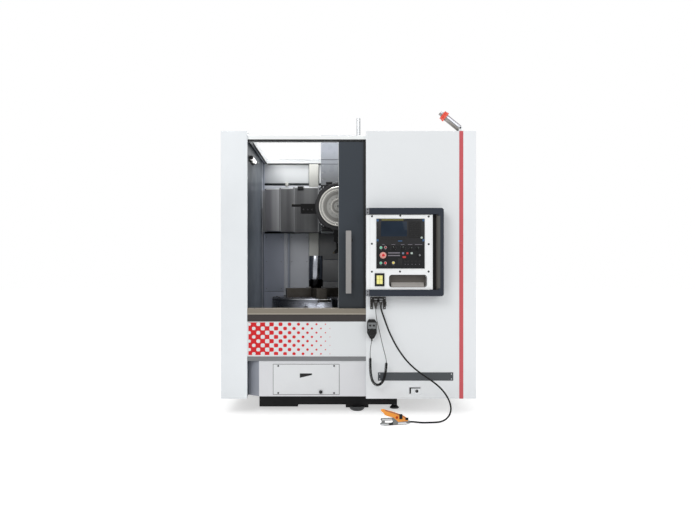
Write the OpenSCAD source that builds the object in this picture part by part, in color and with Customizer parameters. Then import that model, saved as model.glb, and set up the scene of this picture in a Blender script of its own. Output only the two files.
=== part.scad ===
// Vertical lathe: a two-axis turning centre with a horizontal chuck, a turret on
// a vertical ram, a sheet-metal enclosure and a swivelling operator console.
// Millimetres. X runs to the right of the operator, Y away from the operator,
// Z up. The origin is on the floor, in the middle of the machine's plan.

/* [Enclosure] */
// Overall width
enc_w = 2168; // [2100:1:2650]
// Depth from the front covers to the rear panel
enc_d = 1900; // [1880:1:2400]
// Height of the front covers above the floor
enc_h = 2414; // [2390:1:2950]
// Height of the covers' lower edge above the floor
skirt_z = 140; // [100:1:180]
// Thickness of the outer sheet metal
sheet = 2; // [1.5:0.5:3]
// Width of the left front cover
left_cover_w = 224; // [180:1:280]
// Clear width between the two front covers
opening_w = 1009; // [900:1:1100]
// Depth of the front covers' folded edges
fold_d = 24; // [15:1:28]
// How far the top frame lies below the covers' top edge
top_drop = 34; // [20:1:80]
// Height of the top frame's beams
beam_h = 45; // [30:1:60]
// Distance from the right front edge to the red stripe
stripe_off = 109; // [60:1:160]
// Width of the red stripe
stripe_w = 34; // [15:1:60]

/* [Work chamber] */
// Width of the chamber between its side walls
chamber_w = 1420; // [1380:1:1450]
// Depth of the chamber's back wall behind the front covers
chamber_d = 1120; // [1115:1:1160]
// Thickness of the chamber's walls
wall_t = 3; // [2:0.5:5]
// Height of the chamber's floor tray
floor_z = 700; // [660:1:740]
// Height of the door sill's top face
sill_z = 906; // [890:1:930]
// Height of the sill track's front face
sill_h = 51; // [40:1:60]
// Depth of the sill from front to back
sill_d = 92; // [85:1:110]

/* [Front panels] */
// Height of the dark strip under the sill
dark_strip_h = 61; // [30:1:70]
// Height of the printed panel
dot_panel_h = 296; // [200:1:320]
// Height of the grey strip under the printed panel
grey_strip_h = 39; // [20:1:60]
// Width of the apron's set-back left end
apron_return_w = 100; // [60:1:160]
// How far the apron's left end is set back
apron_return_d = 66; // [40:1:120]
// Width of the access cover
access_w = 559; // [400:1:620]
// Height of the access cover
access_h = 254; // [180:1:270]
// Width of the bare name plate
plate_w = 637; // [400:1:680]
// Height of the bare name plate
plate_h = 70; // [40:1:90]

/* [Base and column] */
// Depth of the base casting's front face behind the covers
base_front = 170; // [150:1:190]
// Width of the base casting
base_w = 1209; // [1150:1:1260]
// Height of the base casting's underside above the floor
base_z = 52; // [50:1:70]
// Height of the cross rail on the column
rail_beam_h = 390; // [370:1:400]
// Height of the cross rail's middle above the chuck's face
rail_rise = 854; // [850:1:920]
// Distance between the two X guide rails
x_rail_gap = 270; // [240:1:290]
// Width of a guide rail
rail_w = 35; // [30:1:45]
// Radius of the anchor holes in the base casting
anchor_r = 13; // [10:0.5:16]

/* [Chuck] */
// Distance of the spindle axis from the opening's left edge
chuck_off = 563; // [545:1:580]
// Distance of the spindle axis behind the front covers
chuck_d = 560; // [555:1:570]
// Radius of the chuck
chuck_r = 409; // [340:1:420]
// Height of the chuck's body
chuck_h = 151; // [120:1:170]
// Height of the chuck's face above the floor
chuck_z = 981; // [975:1:1000]
// Angle of the first jaw from +X, seen from above
jaw_angle = 12.6; // [0:0.1:45]
// Width of a jaw
jaw_w = 92; // [70:1:110]
// Height of a jaw above the chuck's face
jaw_h = 84; // [60:1:100]
// Length of a jaw
jaw_l = 232; // [180:1:250]
// Radius of the workpiece stem that the jaws hold
stem_r = 50; // [40:1:60]
// Radius of the workpiece's body
work_r = 64; // [50:1:75]
// Height of the workpiece above the jaws' tops
work_h = 300; // [200:1:305]
// Radius of the spindle shaft
spindle_r = 120; // [90:1:150]

/* [Slides] */
// Distance of the turret axis to the right of the spindle axis
turret_off = 215; // [190:1:225]
// Width of the ram
ram_w = 350; // [330:1:360]
// Depth of the ram from front to back
ram_t = 150; // [140:1:160]
// Length of the ram
ram_l = 960; // [940:1:1000]
// Height of the ram's underside above the chuck's face
ram_rise = 619; // [600:1:650]
// Depth of the ram's front face behind the front covers
ram_d = 800; // [795:1:805]
// Height of the cross-slide covers
x_cover_h = 450; // [430:1:470]
// Length of one section of the cross-slide cover
x_section_l = 262; // [255:1:270]
// Step between one section of the cover and the next
x_cover_step = 7; // [5:0.5:10]
// Radius of the counterbalance cylinder
barrel_r = 20; // [18:0.5:22]
// Height of the counterbalance cylinder's top above the floor
barrel_top = 2750; // [2700:1:2900]
// Radius of the feed screws
screw_r = 14; // [10:0.5:15]

/* [Turret] */
// Radius of the tool disc
disc_r = 224; // [200:1:230]
// Thickness of the tool disc
disc_t = 100; // [80:1:110]
// Radius of the disc's machined face
face_r = 186; // [150:1:190]
// Height of the turret axis above the chuck's face
turret_rise = 847; // [840:1:860]
// Radius from the turret axis to the tool tips
tip_r = 442; // [420:1:444]
// Radius of the turret's shaft
turret_shaft_r = 40; // [30:1:60]

/* [Door] */
// Width of door that shows beside the right cover when it is open
door_show = 232; // [200:1:280]
// How far the closed door laps behind the right cover
door_lap = 23; // [15:1:60]
// Thickness of the door
door_t = 45; // [35:1:50]
// Width of the door's stiles around the window
stile_w = 240; // [150:1:260]
// Length of the door handle
handle_l = 530; // [350:1:600]
// Width of the door handle's bar
handle_w = 46; // [30:1:60]

/* [Operator console] */
// Width of the console housing
box_w = 552; // [500:1:570]
// Height of the console housing
box_h = 622; // [600:1:640]
// Depth of the console housing
box_d = 88; // [80:1:90]
// Width of the black control panel
panel_w = 402; // [380:1:420]
// Height of the black control panel
panel_h = 415; // [400:1:420]
// Height of the frame's top and bottom bars
arm_h = 52; // [40:1:60]
// Width of the frame's upright
arm_w = 44; // [35:1:60]
// Depth of the frame's bars
arm_d = 52; // [45:1:60]
// Gap between the housing and the frame's upright
arm_gap = 47; // [30:1:60]
// Height of the housing's lower edge above the floor
box_z = 1071; // [1060:1:1120]
// Radius of the swivel pins
pin_r = 8; // [6:0.5:12]
// Radius of the emergency-stop button's head
estop_r = 20; // [15:0.5:22]
// Radius of the push buttons
button_r = 9; // [7:0.5:10]
// Radius of the large rotary switches
dial_knob_r = 16; // [12:0.5:17]
// Radius of the small rotary switches
small_knob_r = 11; // [8:0.5:12]

/* [Handwheel pendant] */
// Width of the handwheel pendant
mpg_w = 80; // [70:1:90]
// Height of the handwheel pendant
mpg_h = 160; // [150:1:170]
// Thickness of the handwheel pendant
mpg_t = 45; // [35:1:50]
// Radius of its hand dial
mpg_dial_r = 27; // [22:1:30]

/* [Signal lamp] */
// Radius of the lamp's tube
lamp_tube_r = 28; // [20:1:30]
// Length of the lamp's tube
lamp_tube_l = 150; // [100:1:180]
// Radius of the lamp's lens
lamp_lens_r = 39; // [32:1:44]
// Resting angle of the lamp above the roof
lamp_tilt = 39; // [30:1:60]

/* [Clearances] */
// Clearance between parts that move past each other
gap = 0.3; // [0.2:0.05:0.6]
// Radial running clearance of shafts and pins
fit = 0.05; // [0.02:0.01:0.1]

/* [Hidden] */
$fn = 48;
FINE = 96;

// ---- places in plan and height, all worked out from the sizes above ----
estop_reach = 34;
panel_t = 4;
box_front = 100;
console_reach = box_front + panel_t + estop_reach;
front_y = (console_reach - enc_d) / 2;

x_left = -enc_w / 2;
x_right = enc_w / 2;
open_x0 = x_left + left_cover_w;
open_x1 = open_x0 + opening_w;
wall_x1 = open_x0 + chamber_w;
chuck_x = open_x0 + chuck_off;
turret_x = chuck_x + turret_off;

frame_z1 = enc_h - top_drop;
frame_z0 = frame_z1 - beam_h;
dark_z = sill_z - sill_h;
dot_z1 = dark_z - dark_strip_h;
dot_z0 = dot_z1 - dot_panel_h;
apron_z1 = dot_z0 - grey_strip_h;
apron_z0 = 157;

door_front = 30;
door_back = door_front + door_t;
pocket_back = sill_d;
rail_t = 40;
roof_x0 = wall_x1 + rail_t;

base_inset = 81;
base_x0 = open_x0 + base_inset;
base_x1 = base_x0 + base_w;
base_back_gap = 40;
base_back = enc_d - base_back_gap;
base_lip = 18;
base_lip_w = 338;

rail_z = chuck_z + rail_rise;
rail_front = 1050;
rail_back = 1180;
guide_t = 30;
column_left = 260;
column_right = 660;
column_x0 = chuck_x - column_left;
column_x1 = chuck_x + column_right;

saddle_front = 975;
saddle_t = 30;
cover_front = 850;
cover_back = 1003;
cover_drop = 2;
cover_z0 = rail_z - x_cover_h / 2 - cover_drop;
flange_t = 10;
flange_gap = 6;
barrel_room = 47;
saddle_x0 = turret_x - ram_w / 2 - flange_gap - flange_t;
saddle_x1 = turret_x + ram_w / 2 + barrel_room + flange_t;
flange_half = 215;
saddle_up = 240;
saddle_z0 = rail_z - flange_half;
saddle_z1 = rail_z + saddle_up;
ram_x0 = turret_x - ram_w / 2;
ram_x1 = turret_x + ram_w / 2;
ram_z0 = chuck_z + ram_rise;
ram_z1 = ram_z0 + ram_l;
ram_back = ram_d + ram_t;
ram_wall = 16;
z_rail_off = 125;
z_rail_w = 30;
z_rail_t = 20;
z_screw_set = 85;
z_screw_d = ram_d + z_screw_set;
slot_half = 100;
barrel_side = 23;
barrel_x = ram_x1 + barrel_side;
barrel_d = ram_d + 2 * ram_t / 3;
rod_r = 12;
piston_r = 14.9;
turret_z = chuck_z + turret_rise;
disc_front = 525;
disc_back = disc_front + disc_t;
housing_front = 640;

arm_lap = 4;
box_lap = 2;
arm_x0 = open_x1 - arm_lap;
box_x0 = open_x1 - box_lap;
box_x1 = box_x0 + box_w;
arm_x1 = box_x1 + arm_gap + arm_w;
box_z1 = box_z + box_h;
arm_proud = 12;
arm_front = box_front + arm_proud;
arm_back = arm_front - arm_d;
arm_clear = 4;
pin_inset = 25;
pin_x = box_x0 + pin_inset;
pin_d = arm_front - arm_d / 2;
PANEL_AT = [83, 174];
panel_x0 = box_x0 + PANEL_AT[0];
panel_z0 = box_z + PANEL_AT[1];
panel_face = box_front + panel_t;
box_wall = 4;
ROCKER_AT = [110, 81];
rocker_x = box_x0 + ROCKER_AT[0];
rocker_z = box_z + ROCKER_AT[1];
slot_w = 316;
slot_h = 104;
SLOT_AT = [189, 18];
slot_x0 = box_x0 + SLOT_AT[0];
slot_z0 = box_z + SLOT_AT[1];
slot_depth = 56;

mpg_x = 197;
mpg_top = 816;
mpg_back = 0.3;

socket_x = 230;
gland_x = 272;
socket_d = 32;
socket_z = 960;
plug_z = 905;
gland_z = 938;

lamp_inset = 20;
lamp_x = x_right - stripe_off - lamp_inset;
lamp_d = 60;
lamp_rise = 34;
lamp_z = enc_h + lamp_rise;

// ---- colours ----
white = [0.92, 0.94, 0.94];
pale = [0.85, 0.86, 0.87];
slate = [0.25, 0.28, 0.33];
iron = [0.2, 0.2, 0.21];
black = [0.1, 0.1, 0.11];
steel = [0.66, 0.67, 0.69];
stainless = [0.45, 0.46, 0.48];
dark_steel = [0.28, 0.27, 0.26];
bronze = [0.59, 0.54, 0.46];
red = [0.75, 0.1, 0.12];

// ---- helpers ----

// A block from x0 to x1, from depth d0 to d1 behind the front covers, and z0 to z1.
module block(x0, x1, d0, d1, z0, z1) {
    translate([x0, front_y + d0, z0]) cube([x1 - x0, d1 - d0, z1 - z0]);
}

// Children built along Z stand with their axis towards +Y, at depth d.
module facing_back(x, d, z) {
    translate([x, front_y + d, z]) rotate([-90, 0, 0]) children();
}

// Children built along Z stand with their axis along +X.
module along_x(x, d, z) {
    translate([x, front_y + d, z]) rotate([0, 90, 0]) children();
}

// Children built along Z stand upright at a place in plan.
module upright(x, d, z) {
    translate([x, front_y + d, z]) children();
}

// A flat outline in X and Z, given depth from d0 to d1.
module plate_xz(d0, d1) {
    translate([0, front_y + d1, 0]) rotate([90, 0, 0]) linear_extrude(d1 - d0) children();
}

// A rectangle from corner to corner with round corners.
module round_rect(x0, x1, z0, z1, r) {
    translate([x0 + r, z0]) square([x1 - x0 - 2 * r, z1 - z0]);
    translate([x0, z0 + r]) square([x1 - x0, z1 - z0 - 2 * r]);
    for (x = [x0 + r, x1 - r], z = [z0 + r, z1 - r]) translate([x, z]) circle(r, $fn = 32);
}

// ---- base, feet and column ----

foot_inset = 140;
cabinet_foot_inset = 190;
DOME_FOOT = [chuck_x + 376, base_front + 20];
FEET = [
    [base_x0 + foot_inset, base_front + 250],
    [base_x1 - 15, base_front + 100],
    [base_x0 + foot_inset, base_back - foot_inset], [base_x1 - foot_inset, base_back - foot_inset]];
CABINET_FEET = [for (d = [760, 1600]) [x_right - cabinet_foot_inset, d]];
foot_pad_r = 42;
foot_stud_r = 14;
anchor_x = 900;
anchor_d = 1300;
anchor_mid_x = base_x0 + base_w / 2;
anchor_mid_d = (base_front + base_back) / 2;

anchor_h = 50;
base_lip_d = 60;
drive_room = 190;
bore_play = 3;
dome_r = 70;
dome_floor_r = 46;
dome_top = base_z - 12;
boss_half = 100;
boss_d = 150;
boss_drop = 26;
pocket_w = 250;
pocket_d = 160;
pocket_margin = 120;
pocket_edge = 60;
module base_casting() {
    color(iron) difference() {
        union() {
            block(base_x0, base_x1, base_front, base_back, base_z, floor_z);
            block(base_x0, base_x0 + base_lip_w, base_front, base_front + base_lip_d,
                base_z - base_lip, base_z);
            block(DOME_FOOT[0] - boss_half, DOME_FOOT[0] + boss_half, base_front,
                base_front + boss_d, base_z - boss_drop, base_z);
        }
        upright(DOME_FOOT[0], DOME_FOOT[1], 0) cylinder(h = dome_top, r = dome_r + 1, $fn = FINE);
        upright(chuck_x, chuck_d, base_z - 1) cylinder(h = floor_z, r = housing_r + bore_play, $fn = FINE);
        block(chuck_x - drive_room, chuck_x + drive_room, chuck_d - drive_room, chuck_d + drive_room,
            base_z - 1, housing_z0 + 5);
        for (sx = [-1, 1], sy = [-1, 1])
            upright(anchor_mid_x + sx * anchor_x / 2, anchor_mid_d + sy * anchor_d / 2, base_z - 1)
                cylinder(h = anchor_h, r = anchor_r);
        for (x = [base_x0 + pocket_edge, chuck_x + pocket_edge + housing_r])
            block(x, x + pocket_w, base_back - pocket_d, base_back + 1, base_z + pocket_margin,
                floor_z - pocket_margin);
    }
}

foot_pad_h = 8;
foot_cone_h = 22;
foot_nut_r = foot_stud_r + 8;
foot_nut_z0 = 30;
foot_nut_z1 = 42;
module foot(x, d, top) {
    upright(x, d, 0) rotate_extrude($fn = FINE)
        polygon([
            [0, 0], [foot_pad_r, 0], [foot_pad_r, foot_pad_h], [foot_pad_r - foot_stud_r, foot_cone_h],
            [foot_nut_r, foot_nut_z0], [foot_nut_r, foot_nut_z1], [foot_stud_r, foot_nut_z1],
            [foot_stud_r, top], [0, top]]);
}

// The domed foot stands in a pocket under the base's boss.
module dome_foot() {
    upright(DOME_FOOT[0], DOME_FOOT[1], 0) rotate_extrude($fn = FINE)
        polygon([
            [0, 0], [dome_floor_r, 0], [dome_r - 12, 8], [dome_r - 4, 18], [dome_r, 30],
            [dome_r, dome_top], [0, dome_top]]);
}

module levelling_feet() {
    color(black) {
        dome_foot();
        for (f = FEET) foot(f[0], f[1], base_z);
        for (f = CABINET_FEET) foot(f[0], f[1], cabinet_z0);
    }
}

// The column is hollow behind, with a rib between its two bays.
column_up = 200;
bay_w = 360;
bay_wall = 60;
bay_rib = 80;
bay_depth = 120;
bay_up = 100;
beam_x0 = open_x0 + 30;
beam_x1 = wall_x1 - 12;
guide_x0 = open_x0 + 40;
guide_x1 = wall_x1 - 20;
x_screw_d = rail_front - 22;
x_screw_l = chamber_w - 70;
bearing_l = 25;
bearing_half = 30;
bearing_d = 40;
module column_casting() {
    color(iron) {
        difference() {
            block(column_x0, column_x1, rail_back, base_back, floor_z, rail_z + column_up);
            for (i = [0, 1]) {
                x = column_x0 + bay_wall + i * (bay_w + bay_rib);
                block(x, x + bay_w, rail_back + bay_depth, base_back + 1, floor_z + bay_depth,
                    rail_z + bay_up);
            }
        }
        block(beam_x0, beam_x1, rail_front, rail_back, rail_z - rail_beam_h / 2,
            rail_z + rail_beam_h / 2);
    }
    color(steel) {
        for (s = [-1, 1]) block(guide_x0, guide_x1, rail_front - guide_t, rail_front,
            rail_z + s * x_rail_gap / 2 - rail_w / 2, rail_z + s * x_rail_gap / 2 + rail_w / 2);
        along_x(guide_x0 + 5, x_screw_d, rail_z) cylinder(h = x_screw_l, r = screw_r);
        for (x = [guide_x0, guide_x1 - bearing_l])
            block(x, x + bearing_l, rail_front - bearing_d, rail_front, rail_z - bearing_half,
                rail_z + bearing_half);
    }
}

// The spindle's cartridge stands in the base, with the drive unit closed below it.
housing_r = 200;
housing_z0 = 400;
plate_t = 24;
collar_w = 45;
housing_top = chuck_z - chuck_h - plate_t;
drive_half = 170;
drive_z0 = 110;
bore_floor = 30;
module spindle_housing() {
    color(iron) difference() {
        union() {
            upright(chuck_x, chuck_d, housing_z0)
                cylinder(h = housing_top - housing_z0, r = housing_r, $fn = FINE);
            upright(chuck_x, chuck_d, floor_z)
                cylinder(h = plate_t, r = housing_r + collar_w, $fn = FINE);
            block(chuck_x - drive_half, chuck_x + drive_half, chuck_d - drive_half, chuck_d + drive_half,
                drive_z0, housing_z0);
        }
        upright(chuck_x, chuck_d, housing_z0 + bore_floor)
            cylinder(h = housing_top, r = spindle_r + fit, $fn = FINE);
    }
}

// ---- chamber ----

top_gap = 22;
low_gap = 10;
module chamber_walls() {
    color(slate) {
        block(open_x0 - wall_t, open_x0, fold_d, chamber_d, floor_z, frame_z1);
        block(wall_x1, wall_x1 + wall_t, pocket_back, chamber_d, floor_z, frame_z1);
        for (z = [[floor_z, cover_z0 - low_gap], [rail_z + x_cover_h / 2 + top_gap, frame_z1]])
            block(open_x0 - wall_t, wall_x1 + wall_t, chamber_d, chamber_d + wall_t, z[0], z[1]);
    }
}

tray_lip = 40;
module chip_tray() {
    color(stainless) difference() {
        block(open_x0, wall_x1, pocket_back, chamber_d, floor_z, floor_z + tray_lip);
        block(open_x0 + wall_t, wall_x1 - wall_t, pocket_back + wall_t, chamber_d - wall_t,
            floor_z + wall_t, floor_z + tray_lip + 1);
        upright(chuck_x, chuck_d, floor_z - 1)
            cylinder(h = tray_lip + 2, r = housing_r + collar_w + gap, $fn = FINE);
    }
}

rear_rail_t = 30;
module top_frame() {
    color(white) difference() {
        block(open_x0, roof_x0, fold_d, chamber_d, frame_z0, frame_z1);
        block(open_x0 + rail_t, wall_x1, pocket_back, chamber_d - rear_rail_t,
            frame_z0 - 1, frame_z1 + 1);
        block(wall_x1 - 1, wall_x1 + wall_t, pocket_back - 1, chamber_d + 1, frame_z0 - 1,
            frame_z1 + 1);
    }
}

module outer_panels() {
    color(white) {
        block(x_left, x_left + sheet, fold_d, enc_d, skirt_z, enc_h);
        block(x_right - sheet, x_right, fold_d, enc_d, skirt_z, enc_h);
        block(x_left + sheet, x_right - sheet, enc_d - sheet, enc_d, skirt_z, enc_h);
        block(x_left + sheet, open_x0, fold_d, enc_d - sheet, enc_h - sheet, enc_h);
        block(roof_x0, x_right - sheet, fold_d, enc_d - sheet, enc_h - sheet, enc_h);
        block(open_x0 - sheet, open_x0, fold_d, enc_d - sheet, frame_z1, enc_h - sheet);
        block(roof_x0, roof_x0 + sheet, fold_d, enc_d - sheet, frame_z0, enc_h - sheet);
        block(open_x0 - sheet, roof_x0, chamber_d + wall_t, enc_d - sheet, frame_z1 - sheet,
            frame_z1);
    }
}

module left_front_cover() {
    color(white) difference() {
        block(x_left, open_x0, 0, fold_d, skirt_z, enc_h);
        block(x_left + sheet, open_x0 - sheet, sheet, fold_d + 1, skirt_z + sheet, enc_h - sheet);
    }
}

stripe_x0 = x_right - stripe_off - stripe_w;
stripe_sink = 1;
module right_front_cover() {
    color(white) difference() {
        block(open_x1, x_right, 0, fold_d, skirt_z, enc_h);
        block(open_x1 + sheet, x_right - sheet, sheet, fold_d + 1, skirt_z + sheet, enc_h - sheet);
        block(stripe_x0, stripe_x0 + stripe_w, -1, stripe_sink, skirt_z - 1, enc_h + 1);
    }
}

module red_stripe() {
    color(red) block(stripe_x0 + gap, stripe_x0 + stripe_w - gap, -stripe_sink, stripe_sink,
        skirt_z, enc_h);
}

// The sill carries the door's track; the strips close the front below it.
strip_front = 8;
strip_back = 18;
module door_sill() {
    color(bronze) {
        block(open_x0, open_x1, 0, sill_d, dark_z, sill_z);
        block(open_x1, x_right - stripe_off, fold_d, sill_d, dark_z, sill_z);
    }
    color(iron) block(open_x0, open_x1, strip_front, strip_back, dot_z1, dark_z);
    color(stainless) block(open_x0, open_x1, strip_front, strip_back, apron_z1, dot_z0);
}

dot_face = 3;
module dot_panel() {
    color(white) block(open_x0, open_x1, dot_face, strip_back, dot_z0, dot_z1);
}

apron_face = 14;
apron_t = 4;
module lower_apron() {
    color(pale) translate([0, front_y + apron_face, apron_z0]) linear_extrude(apron_z1 - apron_z0)
        polygon([
            [open_x0, apron_return_d], [open_x0 + apron_return_w, 0], [open_x1, 0],
            [open_x1, apron_t], [open_x0 + apron_return_w, apron_t], [open_x0, apron_return_d + apron_t]]);
}

access_off = 221;
access_x0 = open_x0 + access_off;
access_z0 = 175;
access_t = 3;
PULL_AT = [225, 140];
pull_x0 = access_x0 + PULL_AT[0];
pull_x1 = pull_x0 + 104;
pull_z0 = access_z0 + PULL_AT[1];
pull_z1 = pull_z0 + 38;
pull_slope = 24;
COVER_SCREW_AT = [42, 12];
cover_screw_r = 7;
LOCK_KNOB_AT = [404, 21];
lock_knob_r = 16;
lock_knob_h = 13;
module access_cover() {
    color(pale) {
        difference() {
            block(access_x0, access_x0 + access_w, apron_face - access_t, apron_face, access_z0,
                access_z0 + access_h);
            plate_xz(apron_face - access_t - 1, apron_face - 1) polygon([
                [pull_x0, pull_z0], [pull_x1, pull_z0 + pull_slope], [pull_x1, pull_z1],
                [pull_x0, pull_z1]]);
        }
        for (x = [COVER_SCREW_AT[0], access_w - COVER_SCREW_AT[0]],
             z = [COVER_SCREW_AT[1], access_h - COVER_SCREW_AT[1]])
            facing_back(access_x0 + x, apron_face - 2 * access_t, access_z0 + z)
                cylinder(h = access_t, r = cover_screw_r);
        facing_back(access_x0 + LOCK_KNOB_AT[0], apron_face - access_t - lock_knob_h,
            access_z0 + LOCK_KNOB_AT[1]) cylinder(h = lock_knob_h, r = lock_knob_r);
    }
}

// The bare name plate, the flush latch and the signal lamp's foot.
plate_off = 102;
plate_x0 = open_x1 + plate_off;
plate_z0 = 294;
trim_t = 2;
latch_off = 360;
latch_x0 = open_x1 + latch_off;
latch_z0 = 175;
latch_w = 108;
latch_h = 68;
LATCH_LOCK_AT = [71, 30];
latch_lock_r = 13;
lamp_ear = 47.4;
ear_t = 6;
ear_half_w = 12;
ear_mid = lamp_ear / 2 + gap + ear_t / 2;
lamp_base_x = 40;
lamp_base_y = 34;
lamp_base_h = 3;
module front_fittings() {
    color(iron) block(plate_x0, plate_x0 + plate_w, -trim_t, 0, plate_z0, plate_z0 + plate_h);
    color(stainless) difference() {
        union() {
            block(latch_x0, latch_x0 + latch_w, -trim_t, 0, latch_z0, latch_z0 + latch_h);
            facing_back(latch_x0 + LATCH_LOCK_AT[0], -3 * trim_t, latch_z0 + LATCH_LOCK_AT[1])
                cylinder(h = 5, r = latch_lock_r);
        }
        block(latch_x0 + 10, latch_x0 + 46, -trim_t - 1, -0.8, latch_z0 + 8, latch_z0 + latch_h - 8);
    }
    color(steel) difference() {
        union() {
            block(lamp_x - lamp_base_x, lamp_x + lamp_base_x, lamp_d - lamp_base_y,
                lamp_d + lamp_base_y, enc_h, enc_h + lamp_base_h);
            for (s = [-1, 1]) block(lamp_x - ear_half_w, lamp_x + ear_half_w,
                lamp_d + s * ear_mid - ear_t / 2, lamp_d + s * ear_mid + ear_t / 2,
                enc_h + lamp_base_h, lamp_z + ear_half_w);
        }
        facing_back(lamp_x, lamp_d - 2 * lamp_base_y, lamp_z)
            cylinder(h = 4 * lamp_base_y, r = lamp_pin_r + fit);
    }
}

cabinet_z0 = 150;
cabinet_z1 = 2200;
cabinet_front = 120;
cabinet_back = 1700;
cabinet_gap = 60;
module electrical_cabinet() {
    color(pale) block(wall_x1 + cabinet_gap, x_right - sheet, cabinet_front, cabinet_back, cabinet_z0,
        cabinet_z1);
}

// ---- sockets and the console's frame ----

// A plate on the right front cover with a shelf between two cheeks. The shelf
// holds a socket with its plug and a gland, side by side.
bracket_x0 = 184;
bracket_x1 = 317;
bracket_z0 = 900;
bracket_z1 = 1005;
bracket_t = 4;
shelf_front = socket_d + 26;
cheek_h = 30;
socket_r = 15;
socket_h = 22;
plug_r = 14;
boot_h = 25;
module socket_bracket() {
    color(steel) {
        block(bracket_x0, bracket_x1, -bracket_t, 0, bracket_z0, bracket_z1);
        block(bracket_x0 + 6, bracket_x1 - 6, -shelf_front, -bracket_t, socket_z, socket_z + bracket_t);
        for (x = [bracket_x0, bracket_x1 - bracket_t])
            block(x, x + bracket_t, -shelf_front, -bracket_t, socket_z - cheek_h, socket_z + bracket_t);
    }
    color(black) {
        upright(socket_x, -socket_d, plug_z + boot_h)
            cylinder(h = socket_z - plug_z - boot_h, r = plug_r);
        upright(socket_x, -socket_d, plug_z) cylinder(h = boot_h, r1 = 6, r2 = 11);
        upright(gland_x, -socket_d, gland_z) cylinder(h = socket_z - gland_z, r1 = 9, r2 = 13);
        for (x = [socket_x, gland_x])
            upright(x, -socket_d, socket_z + bracket_t) cylinder(h = socket_h, r = socket_r);
    }
}

arm_z0 = box_z - arm_clear - arm_h;
arm_z1 = box_z1 + arm_clear + arm_h;
arm_corner = 20;
foot_side = 40;
arm_pin_l = 26;
module pendant_frame() {
    color(slate) {
        plate_xz(-arm_front, -arm_back) difference() {
            union() {
                square_span(arm_x0, arm_x1 - arm_corner, arm_z0, arm_z1);
                square_span(arm_x1 - arm_corner, arm_x1, arm_z0 + arm_corner, arm_z1 - arm_corner);
                for (z = [arm_z0 + arm_corner, arm_z1 - arm_corner])
                    translate([arm_x1 - arm_corner, z]) circle(arm_corner);
            }
            square_span(arm_x0 - 1, arm_x1 - arm_w, box_z - arm_clear, box_z1 + arm_clear);
        }
        for (x = [arm_x0 + 16, arm_x1 - arm_w / 2 - foot_side / 2], z = [arm_z0 + 6, arm_z1 - arm_h + 6])
            block(x, x + foot_side, -arm_back, 0, z, z + foot_side);
    }
    color(steel) for (z = [arm_z0 + arm_h - 14, box_z1 + arm_clear - 12])
        upright(pin_x, -pin_d, z) cylinder(h = arm_pin_l, r = pin_r);
}

module square_span(x0, x1, z0, z1) {
    translate([x0, z0]) square([x1 - x0, z1 - z0]);
}

// ---- console ----

box_solid = 50;
panel_seat = 10;
rocker_room_w = 34;
rocker_room_h = 44;
rocker_room_d = 40;
slot_r = 24;
pin_hole_l = 15;
module pendant_box() {
    color(white) difference() {
        block(box_x0, box_x1, -box_front, -box_front + box_d, box_z, box_z1);
        block(box_x0 + box_solid, box_x1 - box_wall, -box_front + box_wall, -box_front + box_d - box_wall,
            panel_z0 + panel_seat, box_z1 - box_wall);
        block(panel_x0 + panel_seat, panel_x0 + panel_w - panel_seat, -box_front - 1,
            -box_front + box_wall + 1, panel_z0 + panel_seat, panel_z0 + panel_h - panel_seat);
        block(rocker_x - rocker_room_w, rocker_x + rocker_room_w, -box_front - 1,
            -box_front + rocker_room_d, rocker_z - rocker_room_h, rocker_z + rocker_room_h);
        plate_xz(-box_front - 1, -box_front + slot_depth)
            round_rect(slot_x0, slot_x0 + slot_w, slot_z0, slot_z0 + slot_h, slot_r);
        for (z = [box_z - 1, box_z1 - pin_hole_l])
            upright(pin_x, -pin_d, z) cylinder(h = pin_hole_l + 1, r = pin_r + fit);
    }
}

// Where the controls sit on the panel, from its lower left corner.
ESTOP_AT = [56, 110];
START_AT = [38, 174];
STOP_AT = [76, 176];
CYCLE_AT = [37, 46];
HOLD_AT = [75, 46];
LAMP_AT = [141.5, 48];
FEED_AT = [141.5, 172];
SPEED_AT = [220, 170];
MODE_AT = [288, 165];
RAPID_AT = [345, 165];
LOCK_AT = [358, 110];
BUTTONS = [START_AT, STOP_AT, CYCLE_AT, HOLD_AT, LAMP_AT];
KNOBS = [FEED_AT, SPEED_AT, MODE_AT, RAPID_AT, LOCK_AT];
stem_hole_r = 6;
knob_shaft_r = 4;
collar_h = 4;
button_travel = 4;

// Children built along Z face the operator, with Z = 0 on the panel's face.
module on_panel(at) {
    translate([panel_x0 + at[0], front_y - panel_face, panel_z0 + at[1]])
        rotate([90, 0, 0]) children();
}

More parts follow.
